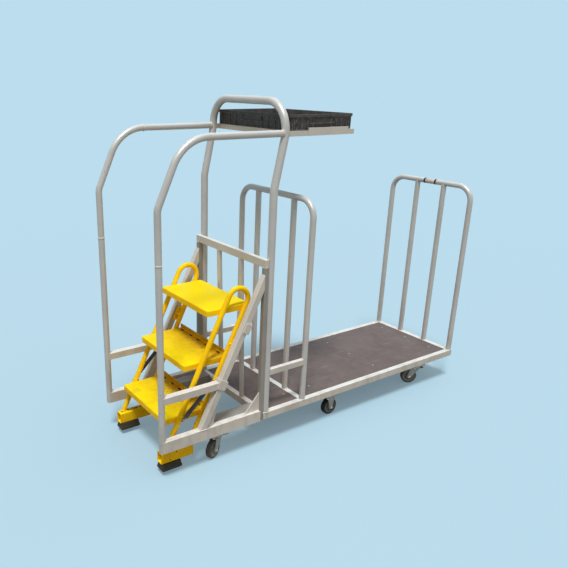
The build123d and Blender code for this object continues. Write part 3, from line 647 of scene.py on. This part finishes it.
# Places on the frame
deck_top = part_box("deck_frame")[1].z
main_low, main_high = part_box("main_hoop")
main_x = main_low.x + HOOP_R
end_x = centre_of("end_hoop").x
middle_x = centre_of("middle_hoop").x
end_bar_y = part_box("end_hoop_bars")[1].y - TUBE_R
middle_bar_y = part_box("middle_hoop_bars")[1].y - TUBE_R
end_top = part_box("end_hoop")[1].z - TUBE_R
middle_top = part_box("middle_hoop")[1].z - TUBE_R
hand_low, hand_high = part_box("handrail_near")
hand_z = hand_high.z - TUBE_R
hoop_top_x = main_high.x - HOOP_R
guard_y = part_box("guard_bars")[1].y - GUARD_R
cross_low, cross_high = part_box("crossbar")
guard_foot_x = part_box("guard_bars")[1].x - GUARD_R
post_x = hand_low.x + TUBE_R
rail_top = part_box("side_rails")[1].z

# Handrails: tube bent in one plane, from the foot of the post over to the main hoop
HAND_KINK_DROP = 0.287
HAND_LEAN = math.radians(24.3)
HAND_KINK_R = 0.080
HAND_BEND_R = 0.190
BEND_STEPS = 16


def bent(points, radii):
    """A route of straight runs with an arc of the given radius at each inner corner."""
    made = [points[0]]
    for before, corner, after, radius in zip(points, points[1:], points[2:], radii):
        back = (before - corner).normalized()
        on = (after - corner).normalized()
        half = back.angle(on) / 2
        centre = corner + (back + on).normalized() * radius / math.sin(half)
        start = corner + back * radius / math.tan(half) - centre
        stop = corner + on * radius / math.tan(half) - centre
        for i in range(BEND_STEPS + 1):
            share = 0.5 - 0.5 * math.cos(math.pi * i / BEND_STEPS)
            made.append(centre + start.lerp(stop, share).normalized() * radius)
    return [*made, points[-1]]


corner_x = post_x + HAND_KINK_DROP * math.tan(HAND_LEAN)
HAND_ROUTE = ((post_x, hand_low.z), (post_x, hand_z - HAND_KINK_DROP), (corner_x, hand_z), (hoop_top_x, hand_z))
for name, side in SIDES:
    route = [Vector((x, side * half_track, z)) for x, z in HAND_ROUTE]
    tube = rod(bent(route, (HAND_KINK_R, HAND_BEND_R)), TUBE_R, 14)
    piece("handrail_tube_" + name, [tube], "frame", "tube_paint", ("handrail_" + name,), 60)

# Weld beads of the hoops, the guard bars and the handrails
HAND_JOINT_X = -0.812
HAND_JOINT_Z = 1.096
# X and height of a joint in a handrail's tube, direction of the tube there, size of the bead
HANDRAIL_JOINTS = ((post_x, HAND_JOINT_Z, Z, BEAD * 1.1), (HAND_JOINT_X, hand_z, X, BEAD))
beads = []
for name, side in SIDES:
    y = side * half_track
    beads.append(ring_bead((main_x, y, deck_top), Z, HOOP_R))
    for x, bar_y, top in ((end_x, end_bar_y, end_top), (middle_x, middle_bar_y, middle_top)):
        beads.append(ring_bead((x, y, deck_top), Z, TUBE_R))
        beads.append(ring_bead((x, side * bar_y, deck_top), Z, TUBE_R))
        beads.append(ring_bead((x, side * bar_y, top - TUBE_R * 0.8), Z, TUBE_R * 0.95))
    beads.append(ring_bead((hoop_top_x - HOOP_R * 0.92, y, hand_z), X, TUBE_R, BEAD * 1.15))
    beads.append(ring_bead((guard_foot_x, side * guard_y, deck_top), Z, GUARD_R))
    beads.append(ring_bead(((cross_low.x + cross_high.x) / 2, side * guard_y, cross_low.z), Z, GUARD_R * 0.95))
    for x, z, along, size in HANDRAIL_JOINTS:
        beads.append(ring_bead((x, y, z), along, TUBE_R, size))
piece("frame_welds", beads, "frame", "frame_paint")

# Beads where the slanted guide bars, gussets, arms and struts meet their neighbours
GUIDE_FOOT_LONG = 0.0390
RAIL_HALF = 0.0175
GUSSET_LONG = 0.09
GUSSET_TALL = 0.1
GUSSET_HALF = 0.003
STRUT_HALVES = (0.0115, 0.0105)
CROSSBAR_HALF = 0.0125
arm_low, arm_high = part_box("upper_arms")
gusset_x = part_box("gussets")[1].x
strut_low, strut_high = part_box("hoop_struts")
upright_low, upright_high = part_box("uprights")
beads = []
for name, side in SIDES:
    y = side * half_track
    foot_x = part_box("guide_bar_" + name)[0].x
    beads += rail_bead((foot_x, y - RAIL_HALF), (foot_x + GUIDE_FOOT_LONG, y + RAIL_HALF), rail_top)
    for z in (arm_low.z, arm_high.z):
        beads.append(across_bead(post_x + TUBE_R * 0.8, y, RAIL_HALF * 0.8, z))
    for hand in (-1, 1):
        corner = Vector((gusset_x, y + hand * GUSSET_HALF, rail_top))
        beads.append(line_bead((gusset_x - GUSSET_LONG, corner.y, rail_top), corner))
        beads.append(line_bead(corner, (gusset_x, corner.y, rail_top + GUSSET_TALL)))
    for z in (strut_low.z, strut_high.z):
        for x, half in zip((main_x + HOOP_R, middle_x - TUBE_R), STRUT_HALVES):
            beads.append(across_bead(x, y, half, z))
    beads.append(ring_bead((cross_high.x - CROSSBAR_HALF, y, cross_low.z), Z, CROSSBAR_HALF))
    for x, out, joint_top in ((upright_low.x, RAIL_HALF, rail_top), (upright_high.x, TUBE_R, deck_top)):
        bead_y = side * (half_track + out)
        beads.append(line_bead((x, bead_y, upright_low.z), (x, bead_y, joint_top)))
piece("step_frame_welds", beads, "frame", "frame_paint")

# Tape bands and the blank label, wrapped round the end hoop's top
TAPE_Y = (0.040, -0.040)
TAPE_HALF = 0.006
TAPE_R = TUBE_R + 0.0006
LABEL_HALF = 0.031
LABEL_R = TUBE_R + 0.0004
WRAP_IN = TUBE_R - 0.001
piece("hoop_tape", [turned(
    ((WRAP_IN, -TAPE_HALF), (TAPE_R, -TAPE_HALF), (TAPE_R + 0.0002, 0.0), (TAPE_R, TAPE_HALF), (WRAP_IN, TAPE_HALF)),
    axes((end_x, y, end_top), X, Y), 36) for y in TAPE_Y], "frame", "tape")
piece("hoop_label", [turned(
    ((WRAP_IN, -LABEL_HALF), (LABEL_R, -LABEL_HALF), (LABEL_R, LABEL_HALF), (WRAP_IN, LABEL_HALF)),
    axes((end_x, 0, end_top), X, Y), 36)], "frame", "label")


def stacked(width, depth, radius, rows, matrix, steps=5):
    """A closed form of rounded rectangles stacked up, each row a height and an inset."""
    bm = bmesh.new()
    rings = []
    for height, inset in rows:
        outline = rounded(width - 2 * inset, depth - 2 * inset, max(radius - inset, 0.0008), 0, 0, steps)
        rings.append([bm.verts.new((x, y, height)) for x, y in outline])
    count = len(rings[0])
    for lower, upper in zip(rings, rings[1:]):
        for i in range(count):
            j = (i + 1) % count
            bm.faces.new((lower[i], lower[j], upper[j], upper[i]))
    bm.faces.new(rings[0][::-1])
    bm.faces.new(rings[-1])
    bmesh.ops.recalc_face_normals(bm, faces=bm.faces)
    return mesh_from(bm, matrix)


def carve(mesh, cutters):
    """The mesh with these closed forms cut out of it."""
    holders = [in_scene("holder", part) for part in (mesh, *cutters)]
    for cutter in holders[1:]:
        cut = holders[0].modifiers.new("cut", "BOOLEAN")
        cut.operation = "DIFFERENCE"
        cut.solver = "EXACT"
        cut.object = cutter
    made = evaluated(holders[0])
    for holder in holders:
        part = holder.data
        bpy.data.objects.remove(holder)
        bpy.data.meshes.remove(part)
    return made


def slot_cutter(length, width, depth, matrix):
    """A closed form with round ends, for cutting a slot, long in the matrix's X."""
    return stacked(length, width, width / 2 - 0.0001, ((-depth / 2, 0), (depth / 2, 0)), matrix, 6)


# Treads: a folded pan with rounded front corners, slots along its back, and a raised lip on the lower two
TREAD_SHEET = 0.003
TREAD_BEND = 0.006
TREAD_CORNER = 0.011
TREAD_SLOT = (0.030, 0.012)
TREAD_SLOT_SHADE = (TREAD_SLOT[0] + 0.003, TREAD_SLOT[1] + 0.003)
TREAD_SLOT_SET_BACK = 0.018
TREAD_SLOT_SHARES = (0.40, 0.205, 0.04, -0.14, -0.38)
# name, height of the lip
TREADS = (("bottom", 0.023), ("middle", 0.023), ("top", 0.0))


def folded_pan(length, width, height):
    """A pan with its top at height zero, open below, from one folded sheet."""
    outer = [(-height, 0.0)]
    inner = [(-height, TREAD_SHEET)]
    small = TREAD_BEND - TREAD_SHEET
    for step in range(7):
        turn = math.radians(90 * step / 6)
        outer.append((TREAD_BEND * math.sin(turn) - TREAD_BEND, TREAD_BEND - TREAD_BEND * math.cos(turn)))
        inner.append((small * math.sin(turn) - TREAD_BEND, TREAD_BEND - small * math.cos(turn)))
    return stacked(length, width, TREAD_CORNER + TREAD_BEND, [*reversed(inner), *outer], Matrix(), 6)


slot_shades = []
for name, lip_tall in TREADS:
    low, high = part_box("tread_" + name)
    length = high.x - low.x
    width = high.y - low.y
    top = high.z - lip_tall
    middle = Vector(((low.x + high.x) / 2, 0, top))
    pan = folded_pan(length, width, top - low.z)
    pan.transform(Matrix.Translation(middle))
    parts = [pan]
    if lip_tall:
        slot_x = high.x - TREAD_SLOT_SET_BACK
        cutters = [slot_cutter(*TREAD_SLOT, 0.03, axes((slot_x, share * width, top), Y, Z))
                   for share in TREAD_SLOT_SHARES]
        # a dark plate under each slot, painted shade for the hollow of the pan seen through it
        slot_shades += [plate(rounded(*TREAD_SLOT_SHADE, TREAD_SLOT[1] / 2), [], 0.0010,
                             axes((slot_x, share * width, top - 0.0011), Y, Z), 0.0002)
                       for share in TREAD_SLOT_SHARES]
        lip_height = lip_tall + TREAD_BEND
        parts = [carve(pan, cutters), plate(
            rounded(width - 0.002, lip_height, 0.006), [], TREAD_SHEET,
            axes((high.x - TREAD_SHEET / 2, 0, high.z - lip_height / 2), Y, X), 0.0010)]
    finish = "yellow_" + name if name in DARKENED_BACKS else "step_yellow"
    piece("tread_pan_" + name, parts, "step_unit", finish, ("tread_" + name,), 40)

piece("tread_slot_shades", slot_shades, "step_unit", "pad_rubber")

# Weld along the foot of each lip
LIP_BEAD_SET_IN = 0.01
beads = []
for name, lip_tall in TREADS:
    if lip_tall:
        low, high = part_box("tread_" + name)
        across = (low.y + LIP_BEAD_SET_IN, high.y - LIP_BEAD_SET_IN)
        beads.append(line_bead(*((high.x - TREAD_SHEET, y, high.z - lip_tall) for y in across), 0.0016))
piece("tread_welds", beads, "step_unit", "step_yellow")

# Foot channels: open tube ends, with slots on top and two holes in the outer side drawn as dark marks of painted
# shade, not cut
CHANNEL_WIDE = 0.045
CHANNEL_WALL = 0.003
CHANNEL_SLOT_SHARES = (0.16, 0.36, 0.56, 0.76)
CHANNEL_SLOT = (0.028, 0.010, 0.0039)
# from the front end, below the top
CHANNEL_HOLES = ((0.047, 0.046), (0.085, 0.010))
channel_low, channel_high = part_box("foot_channels")
channel_size = channel_high - channel_low
channel_middle = (channel_low + channel_high) / 2
tubes = []
shade_marks = []
for name, side in SIDES:
    y = side * (channel_high.y - CHANNEL_WIDE / 2)
    inner = (CHANNEL_WIDE - 2 * CHANNEL_WALL, channel_size.z - 2 * CHANNEL_WALL, CHANNEL_WALL)
    tubes.append(plate(rounded(CHANNEL_WIDE, channel_size.z, 0.006), [rounded(*inner)[::-1]], channel_size.x,
                       axes((channel_middle.x, y, channel_middle.z), Y, X), 0.0007))
    for share in CHANNEL_SLOT_SHARES:
        shade_marks.append(plate(rounded(*CHANNEL_SLOT), [], 0.0012,
                           axes((channel_low.x + channel_size.x * share, y, channel_high.z), X, Z), 0.0003))
    for reach, drop in CHANNEL_HOLES:
        hole = (channel_low.x + reach, side * channel_high.y, channel_high.z - drop)
        shade_marks.append(turned(((0.0, 0.0006), (0.0036, 0.0006), (0.0040, 0.0)), axes(hole, X, side * Y), 20))
piece("foot_tubes", tubes, "step_unit", "step_yellow", ("foot_channels",), 40)
# dark plates and discs of painted shade where the slots and holes are
piece("foot_tube_slot_shades", shade_marks, "step_unit", "pad_rubber")

# Rubber pads under the channels, with grooves across their soles
PAD_WIDE = 0.068
PAD_GROOVES = 6
PAD_PITCH = 0.017
pad_low, pad_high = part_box("foot_pads")
pad_parts = []
for name, side in SIDES:
    place = Vector(((pad_low.x + pad_high.x) / 2, side * (pad_high.y - PAD_WIDE / 2), 0))
    pad = stacked(pad_high.x - pad_low.x, PAD_WIDE, 0.009, (
        (pad_low.z, 0.003), (pad_low.z + 0.002, 0.0008), (pad_low.z + 0.004, 0.0), (pad_low.z + 0.014, 0.0012),
        (pad_low.z + 0.018, 0.0045), (pad_high.z - 0.002, 0.0068), (pad_high.z, 0.009)), Matrix.Translation(place))
    cutters = [slot_cutter(PAD_WIDE + 0.02, 0.005, 0.006,
                           axes((place.x + (i - (PAD_GROOVES - 1) / 2) * PAD_PITCH, place.y, pad_low.z), Y, Z))
               for i in range(PAD_GROOVES)]
    pad_parts.append(carve(pad, cutters))
piece("rubber_feet", pad_parts, "step_unit", "pad_rubber", ("foot_pads",), 40)

# Lift springs: close coils between two hooks, drawn in one pose on no body; the real springs stretch as the steps go
# down
SPRING_R = 0.011
WIRE_R = 0.00145
HOOK_R = 0.0086
COIL_SET_BACK = 0.015
COIL_STEPS = 14
spring_low, spring_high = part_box("lift_springs")
spring_y = spring_high.y - SPRING_R
for name, side in SIDES:
    top = Vector((spring_high.x - SPRING_R, side * spring_y, spring_high.z - SPRING_R))
    foot = Vector((spring_low.x + SPRING_R, side * spring_y, spring_low.z + SPRING_R))
    along = (foot - top).normalized()
    across = Y.cross(along)
    coil_from = top + along * COIL_SET_BACK
    coil_to = foot - along * COIL_SET_BACK
    coil_r = SPRING_R - WIRE_R
    turns = int((coil_to - coil_from).length / (2 * WIRE_R * 1.04))
    coil = []
    for i in range(turns * COIL_STEPS + 1):
        turn = 2 * math.pi * i / COIL_STEPS
        outward = across * math.cos(turn) + Y * math.sin(turn)
        coil.append(coil_from.lerp(coil_to, i / (turns * COIL_STEPS)) + outward * coil_r)
    wires = [rod(coil, WIRE_R, 2)]
    for eye, sign, end in ((top, 1, coil[0]), (foot, -1, coil[-1])):
        hook = [eye - along * sign * HOOK_R * math.cos(math.radians(a)) + across * HOOK_R * math.sin(math.radians(a))
                for a in range(-150, 151, 12)]
        wires.append(rod([end, *hook], WIRE_R, 2))
    spring = piece("lift_spring_" + name, wires, None, "spring_dark", ("lift_springs",) if side < 0 else (), 60)
    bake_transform(spring)
    pin = bolt_head(Vector((foot.x, side * (spring_y + 0.005), foot.z)), side * Y, 0.010, 0.005, 0.016)
    shank = turned(((0.0, -0.014), (0.0045, -0.014), (0.0045, 0.006), (0.0, 0.006)),
                   axes((foot.x, side * spring_y, foot.z), X, side * Y), 20)
    piece("spring_bolt_" + name, [*pin, shank], "step_unit", "zinc")

# Castors: tyre, ribbed core, pressed fork, swivel head, plate and bolts
WHEEL_R = 0.050
FORK_IN = 0.0175
FORK_T = 0.004
LEG_R = 0.0135
HEAD_LOW = 0.112
PLATE_SIZE = (0.100, 0.080)
PLATE_T = 0.0045
SWIVEL_PLATE_T = 0.004
PLATE_BOLTS = (0.0395, 0.0295)
BOLT_PLACES = [(sx * PLATE_BOLTS[0], sy * PLATE_BOLTS[1]) for sx in (-1, 1) for sy in (-1, 1)]
BOLT_SLOT = (0.016, 0.0095, 0.0046)
RIBS = 8
castor_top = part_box("castor_plates")[1].z
castors = [node[len("fork_"):] for node in nodes if node.startswith("fork_")]
braked = ("rear_near", "rear_far")
DUSTY_TYRES = ("front_near", "rear_near")


def castor_matrix(name):
    """Wheel centre, X towards the swivel axis, Y to the left, Z up."""
    roll = joints["roll_" + name]
    left = Vector(roll["axis"])
    return Matrix.Translation(roll["pos_m"]) @ Matrix((left.cross(Z), left, Z)).transposed().to_4x4()


def castor_plate(thickness, matrix):
    """A castor's plate with a slot for each bolt."""
    slots = [rounded(*BOLT_SLOT, x, y)[::-1] for x, y in BOLT_PLACES]
    return plate(rounded(*PLATE_SIZE, 0.007), slots, thickness, matrix, 0.0008)


WHEEL_AXIS = Matrix.Rotation(math.radians(-90), 4, "X")
TYRE_PROFILE = ((0.0380, -0.0146), (0.0392, -0.0150), (0.0452, -0.0149), (0.0480, -0.0136), (0.0494, -0.0102),
                (0.0499, -0.0055), (0.0500, 0.0), (0.0499, 0.0055), (0.0494, 0.0102), (0.0480, 0.0136),
                (0.0452, 0.0149), (0.0392, 0.0150), (0.0380, 0.0146), (0.0380, -0.0146))
CORE_PROFILE = ((0.0330, -0.0126), (0.0345, -0.0137), (0.0380, -0.0139), (0.0380, 0.0139), (0.0345, 0.0137),
                (0.0330, 0.0126), (0.0318, 0.0040), (0.0150, 0.0034), (0.0128, 0.0120), (0.0122, 0.0160),
                (0.0052, 0.0163), (0.0052, -0.0163), (0.0122, -0.0160), (0.0128, -0.0120), (0.0150, -0.0034),
                (0.0318, -0.0040), (0.0330, -0.0126))
CROWN_LONG = 0.072
CROWN_SHIFT = 0.005
LEG_HALF = 0.0288
RIB_SIZE = (0.0195, 0.0026, 0.0225)
RIB_MIDDLE = 0.0235
# X and height of the pedal's sheet, and of the grips on it
PEDAL = ((-0.006, 0.0), (0.005, -0.0004), (0.013, 0.0010), (0.0195, 0.0028))
PEDAL_Y = (-0.0165, -0.006, 0.006, 0.0165)
GRIPS = ((0.006, 0.0002), (0.011, 0.0012), (0.016, 0.0024))
GRIP_SIZE = (0.0022, 0.028, 0.0012)

for name in castors:
    place = castor_matrix(name)
    spin = place @ WHEEL_AXIS
    roller = "roller_" + name
    rubber = "dusty_tyre" if name in DUSTY_TYRES else "tyre"
    piece("castor_tyre_" + name, [turned(TYRE_PROFILE, spin, 64)], roller, rubber, ("tyre_" + name,))
    ribs = []
    for i in range(RIBS):
        turn = spin @ Matrix.Rotation(2 * math.pi * i / RIBS, 4, "Z")
        ribs.append(block(RIB_SIZE, turn @ Matrix.Translation((RIB_MIDDLE, 0, 0)), 0.0007))
    core = "dusty_core" if name in DUSTY_TYRES else "wheel_core"
    piece("castor_core_" + name, [turned(CORE_PROFILE, spin, 56), *ribs], roller, core, ("wheel_" + name,))

    swivel = "swivel_" + name in bodies
    trail = (Vector(joints["swivel_" + name]["pos_m"]).xy - place.translation.xy).length if swivel else 0.0
    body = "swivel_" + name if swivel else "frame"
    crown_top = (HEAD_LOW if swivel else castor_top) - WHEEL_R
    crown_x = trail - CROWN_SHIFT if swivel else 0.0
    outline = [*arc(0, 0, LEG_R, 165, 322 if swivel else 375, 14), (crown_x + LEG_HALF, crown_top - 0.006),
               (crown_x + LEG_HALF, crown_top - 0.0005), (crown_x - LEG_HALF, crown_top - 0.0005),
               (crown_x - LEG_HALF, crown_top - 0.006)]
    parts = []
    axle_nuts = []
    for hand in (-1, 1):
        leg = place @ axes((0, hand * (FORK_IN + FORK_T / 2), 0), X, -Y)
        parts.append(plate(outline, [], FORK_T, leg, 0.0011))
        rib = [(x * 0.52 + crown_x * 0.26, y * 0.62 + 0.012) for x, y in outline]
        parts.append(plate(rib, [], 0.0024, place @ axes((0, hand * (FORK_IN + FORK_T), 0), X, -Y), 0.0009))
        end = place @ Vector((0, hand * (FORK_IN + FORK_T), 0))
        axle_nuts += bolt_head(end, place.to_3x3() @ Vector((0, hand, 0)), 0.0150, 0.0055, 0.019)
    if swivel:
        parts.append(stacked(CROWN_LONG, 2 * (FORK_IN + FORK_T), 0.010, (
            (crown_top - 0.005, 0.0), (crown_top - 0.0022, 0.0), (crown_top - 0.0006, 0.0010), (crown_top, 0.0028)),
            place @ Matrix.Translation((crown_x, 0, 0))))
        parts.append(turned(((0.0, -0.0125), (0.0055, -0.0118), (0.0085, -0.0088), (0.0085, -0.004)),
                            place @ Matrix.Translation((trail, 0, crown_top)), 24))
    else:
        middle = place @ Matrix.Translation((0, 0, castor_top - WHEEL_R - PLATE_T / 2))
        parts.append(castor_plate(PLATE_T, middle))
    if name in braked:
        reach = crown_x + CROWN_LONG / 2
        bm = bmesh.new()
        rows = [[bm.verts.new((reach + x, y, crown_top - 0.0045 + z)) for y in PEDAL_Y] for x, z in PEDAL]
        for back, front in zip(rows, rows[1:]):
            for i in range(3):
                bm.faces.new((back[i], front[i], front[i + 1], back[i + 1]))
        bmesh.ops.solidify(bm, geom=bm.faces[:], thickness=0.0022)
        treadle = mesh_from(bm, place)
        grips = [block(GRIP_SIZE, place @ Matrix.Translation((reach + x, 0, crown_top - 0.0032 + z)), 0.0004)
                 for x, z in GRIPS]
        piece("brake_pedal_" + name, [treadle, *grips], body, "zinc")
    piece("castor_fork_" + name, parts, body, "zinc", ("fork_" + name,), 30)
    piece("castor_nuts_" + name, axle_nuts, body, "screw")

# Castor plates of the swivel castors with their bearing heads, and all the plate bolts
HEAD_PROFILE = ((0.0, -0.0160), (0.0290, -0.0160), (0.0316, -0.0150), (0.0320, -0.0098), (0.0296, -0.0086),
                (0.0292, -0.0070), (0.0322, -0.0058), (0.0322, -0.0042), (0.0, -0.0040))
plate_parts = []
plate_bolts = []
for name in castors:
    swivel = "swivel_" + name in bodies
    joint = joints["swivel_" + name if swivel else "roll_" + name]
    top = Vector((joint["pos_m"][0], joint["pos_m"][1], castor_top))
    for x, y in BOLT_PLACES:
        plate_bolts += bolt_head(top + Vector((x, y, -PLATE_T)), -Z, 0.013, 0.0053, 0.0165)
    if swivel:
        plate_parts.append(castor_plate(SWIVEL_PLATE_T, Matrix.Translation(top - Z * SWIVEL_PLATE_T / 2)))
        plate_parts.append(turned(HEAD_PROFILE, Matrix.Translation(top), 48))
piece("castor_top_plates", plate_parts, "frame", "zinc", ("castor_plates",))
piece("castor_plate_bolts", plate_bolts, "frame", "screw")

# Tray: a low container with a stiff rim, ribbed walls, hand grips and a waffled floor
tray_low, tray_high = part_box("tray")
tray_size = tray_high - tray_low
tray_middle = Vector((*centre_of("tray").xy, tray_low.z))
TRAY_RIM = 0.003
RIM_TALL = 0.013
rim_z = tray_size.z - RIM_TALL
shell = stacked(tray_size.x, tray_size.y, 0.016, (
    (0.0, 0.014), (0.0, 0.0075), (0.0025, 0.0060), (rim_z - 0.002, TRAY_RIM + 0.0022), (rim_z, TRAY_RIM),
    (rim_z, 0.0008), (rim_z + 0.0008, 0.0), (tray_size.z - 0.001, 0.0), (tray_size.z, 0.001), (tray_size.z, 0.0050),
    (tray_size.z - 0.001, 0.0058), (tray_size.z - 0.004, 0.0064), (0.0045, 0.0088), (0.0030, 0.0110)),
    Matrix.Translation(tray_middle), 6)
# side of the tray: outward direction, distance to the wall, length of the wall
TRAY_WALLS = ((X, tray_size.x / 2, tray_size.y), (-X, tray_size.x / 2, tray_size.y),
              (Y, tray_size.y / 2, tray_size.x), (-Y, tray_size.y / 2, tray_size.x))
RIB = 0.0022
GRIP_FRAME = 0.150
FLOOR_RIB_PITCH = 0.033
# ribs of the floor: size, direction in which they follow each other, how many on each side of the middle one
FLOOR_RIBS = (((0.0018, tray_size.y * 0.94, 0.0012), X, 5), ((tray_size.x * 0.92, 0.0018, 0.0012), Y, 8))
RIB_SHARES = (-0.455, -0.425, -0.395, -0.31, -0.225, -0.14, 0.14, 0.225, 0.31, 0.395, 0.425, 0.455)
ribs = []
for out, distance, long in TRAY_WALLS:
    sideways = Z.cross(out)
    wall = tray_middle + out * (distance - 0.0043)
    for share in RIB_SHARES:
        ribs.append(block((RIB, 0.0032, rim_z - 0.002),
                          axes(wall + sideways * share * long + Z * rim_z / 2, sideways, Z), 0.0005, 1))
    for height, reach in ((0.004, 0.93), (rim_z * 0.52, 0.28)):
        ribs.append(block((reach * long, 0.0034, 0.0024), axes(wall + Z * height, sideways, Z), 0.0005, 1))
    frame_z = tray_middle + out * (distance - 0.0035) + Z * rim_z * 0.76
    ribs.append(block((GRIP_FRAME, 0.0034, RIB), axes(frame_z - Z * rim_z * 0.24, sideways, Z), 0.0005, 1))
    for hand in (-1, 1):
        ribs.append(block((RIB, 0.0034, rim_z * 0.46),
                          axes(frame_z + sideways * hand * GRIP_FRAME / 2, sideways, Z), 0.0005, 1))
for size, across, count in FLOOR_RIBS:
    for i in range(-count, count + 1):
        place = tray_middle + across * (i * FLOOR_RIB_PITCH) + Z * 0.0034
        ribs.append(block(size, Matrix.Translation(place), 0.0004, 1))
piece("tray_shell", [shell, *ribs], "tray", "tray_plastic", ("tray",), 30)

# Plastic plugs in the open ends of the shelf bars
PLUG_SIZE = (0.0032, 0.0175, 0.0215)
SHELF_BAR_HALF = 0.010
shelf_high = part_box("shelf_frame")[1]
shelf_z = centre_of("shelf_frame").z
piece("shelf_plugs", [
    block(PLUG_SIZE, Matrix.Translation((shelf_high.x, side * (shelf_high.y - SHELF_BAR_HALF), shelf_z)), 0.0007)
    for name, side in SIDES], "frame", "pad_rubber")

# Camera
yaw, pitch, roll = map(math.radians, CAMERA_TURNS)
ahead = Vector((math.sin(yaw) * math.cos(pitch), math.cos(yaw) * math.cos(pitch), -math.sin(pitch)))
level = Vector((math.cos(yaw), -math.sin(yaw), 0))
down = ahead.cross(level)
right = math.cos(roll) * level + math.sin(roll) * down
below = math.cos(roll) * down - math.sin(roll) * level
camera_data = bpy.data.cameras.new("camera")
camera = in_scene("camera", camera_data)
camera.matrix_world = Matrix.Translation(CAMERA_PLACE) @ Matrix((right, -below, -ahead)).transposed().to_4x4()
camera_data.sensor_width = SENSOR
camera_data.lens = SENSOR * FOCAL_PIXELS / IMAGE_SIZE
camera_data.shift_x = (IMAGE_SIZE / 2 - CENTRE_PIXEL[0]) / IMAGE_SIZE
camera_data.shift_y = (CENTRE_PIXEL[1] - IMAGE_SIZE / 2) / IMAGE_SIZE
bpy.context.scene.camera = camera


# Floor, backdrop and light

def light_path(tree):
    """1 for rays that see the stage straight, in a mirror or through glass."""
    path = tree.nodes.new("ShaderNodeLightPath")
    seen = combine(tree, "MAXIMUM", path.outputs["Is Camera Ray"], path.outputs["Is Glossy Ray"])
    return combine(tree, "MAXIMUM", seen, path.outputs["Is Transmission Ray"])


def floor_material():
    """The backdrop's colour where it is seen, and a duller floor for the light that it sends back."""
    made, tree, shader = start_material("floor")
    seen = light_path(tree)
    tree.links.new(mix(tree, seen, FLOOR_BOUNCE, FLOOR_SEEN), shader.inputs["Base Color"])
    put(shader, {"Roughness": 0.85, "Specular IOR Level": 0.0})
    glow = tree.nodes.new("ShaderNodeEmission")
    put(glow, {"Color": (*BACKDROP, 1)})
    distance = tree.nodes.new("ShaderNodeVectorMath")
    distance.operation = "LENGTH"
    tree.links.new(place_of(tree), distance.inputs[0])
    far = ramp(tree, distance.outputs["Value"], *FLOOR_FADE)
    blend = tree.nodes.new("ShaderNodeMixShader")
    share = ramp(tree, far, 0.0, 1.0, FLOOR_GLOW, 1.0)
    tree.links.new(times(tree, share, seen), blend.inputs["Fac"])
    tree.links.new(shader.outputs["BSDF"], blend.inputs[1])
    tree.links.new(glow.outputs["Emission"], blend.inputs[2])
    output = tree.nodes["Material Output"]
    tree.links.new(blend.outputs["Shader"], output.inputs["Surface"])
    return made


floor_bm = bmesh.new()
bmesh.ops.create_grid(floor_bm, x_segments=1, y_segments=1, size=FLOOR_SIZE / 2)
floor_mesh = mesh_from(floor_bm, Matrix())
floor_mesh.materials.append(floor_material())
in_scene("floor", floor_mesh)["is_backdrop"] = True


def sky_towards(tree, direction, towards):
    """How far a direction of the sky points towards this one, from 0 to 1."""
    dot = tree.nodes.new("ShaderNodeVectorMath")
    dot.operation = "DOT_PRODUCT"
    tree.links.new(direction, dot.inputs[0])
    dot.inputs[1].default_value = towards.normalized()
    return combine(tree, "MAXIMUM", dot.outputs["Value"], 0.0)


world = bpy.data.worlds.new("studio")
bpy.context.scene.world = world
world.use_nodes = True
tree = world.node_tree
direction = tree.nodes.new("ShaderNodeTexCoord").outputs["Generated"]
sky = tree.nodes["Background"]
put(sky, {"Color": (*SKY_TINT, 1)})
strength = SKY_EVEN
for towards, share in SKY_PARTS:
    part = times(tree, sky_towards(tree, direction, towards), share)
    strength = combine(tree, "ADD", part, strength)
tree.links.new(strength, sky.inputs["Strength"])
backdrop = tree.nodes.new("ShaderNodeBackground")
put(backdrop, {"Color": (*BACKDROP, 1)})
choose = tree.nodes.new("ShaderNodeMixShader")
tree.links.new(light_path(tree), choose.inputs["Fac"])
tree.links.new(sky.outputs["Background"], choose.inputs[1])
tree.links.new(backdrop.outputs["Background"], choose.inputs[2])
tree.links.new(choose.outputs["Shader"], tree.nodes["World Output"].inputs["Surface"])

sun = bpy.data.lights.new("sun", "SUN")
sun.energy = SUN_STRENGTH
sun.angle = math.radians(SUN_WIDTH)
in_scene("sun", sun).matrix_world = SUN_FROM.to_track_quat("Z", "Y").to_matrix().to_4x4()

bpy.context.scene.view_settings.view_transform = "Standard"

low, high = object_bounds()
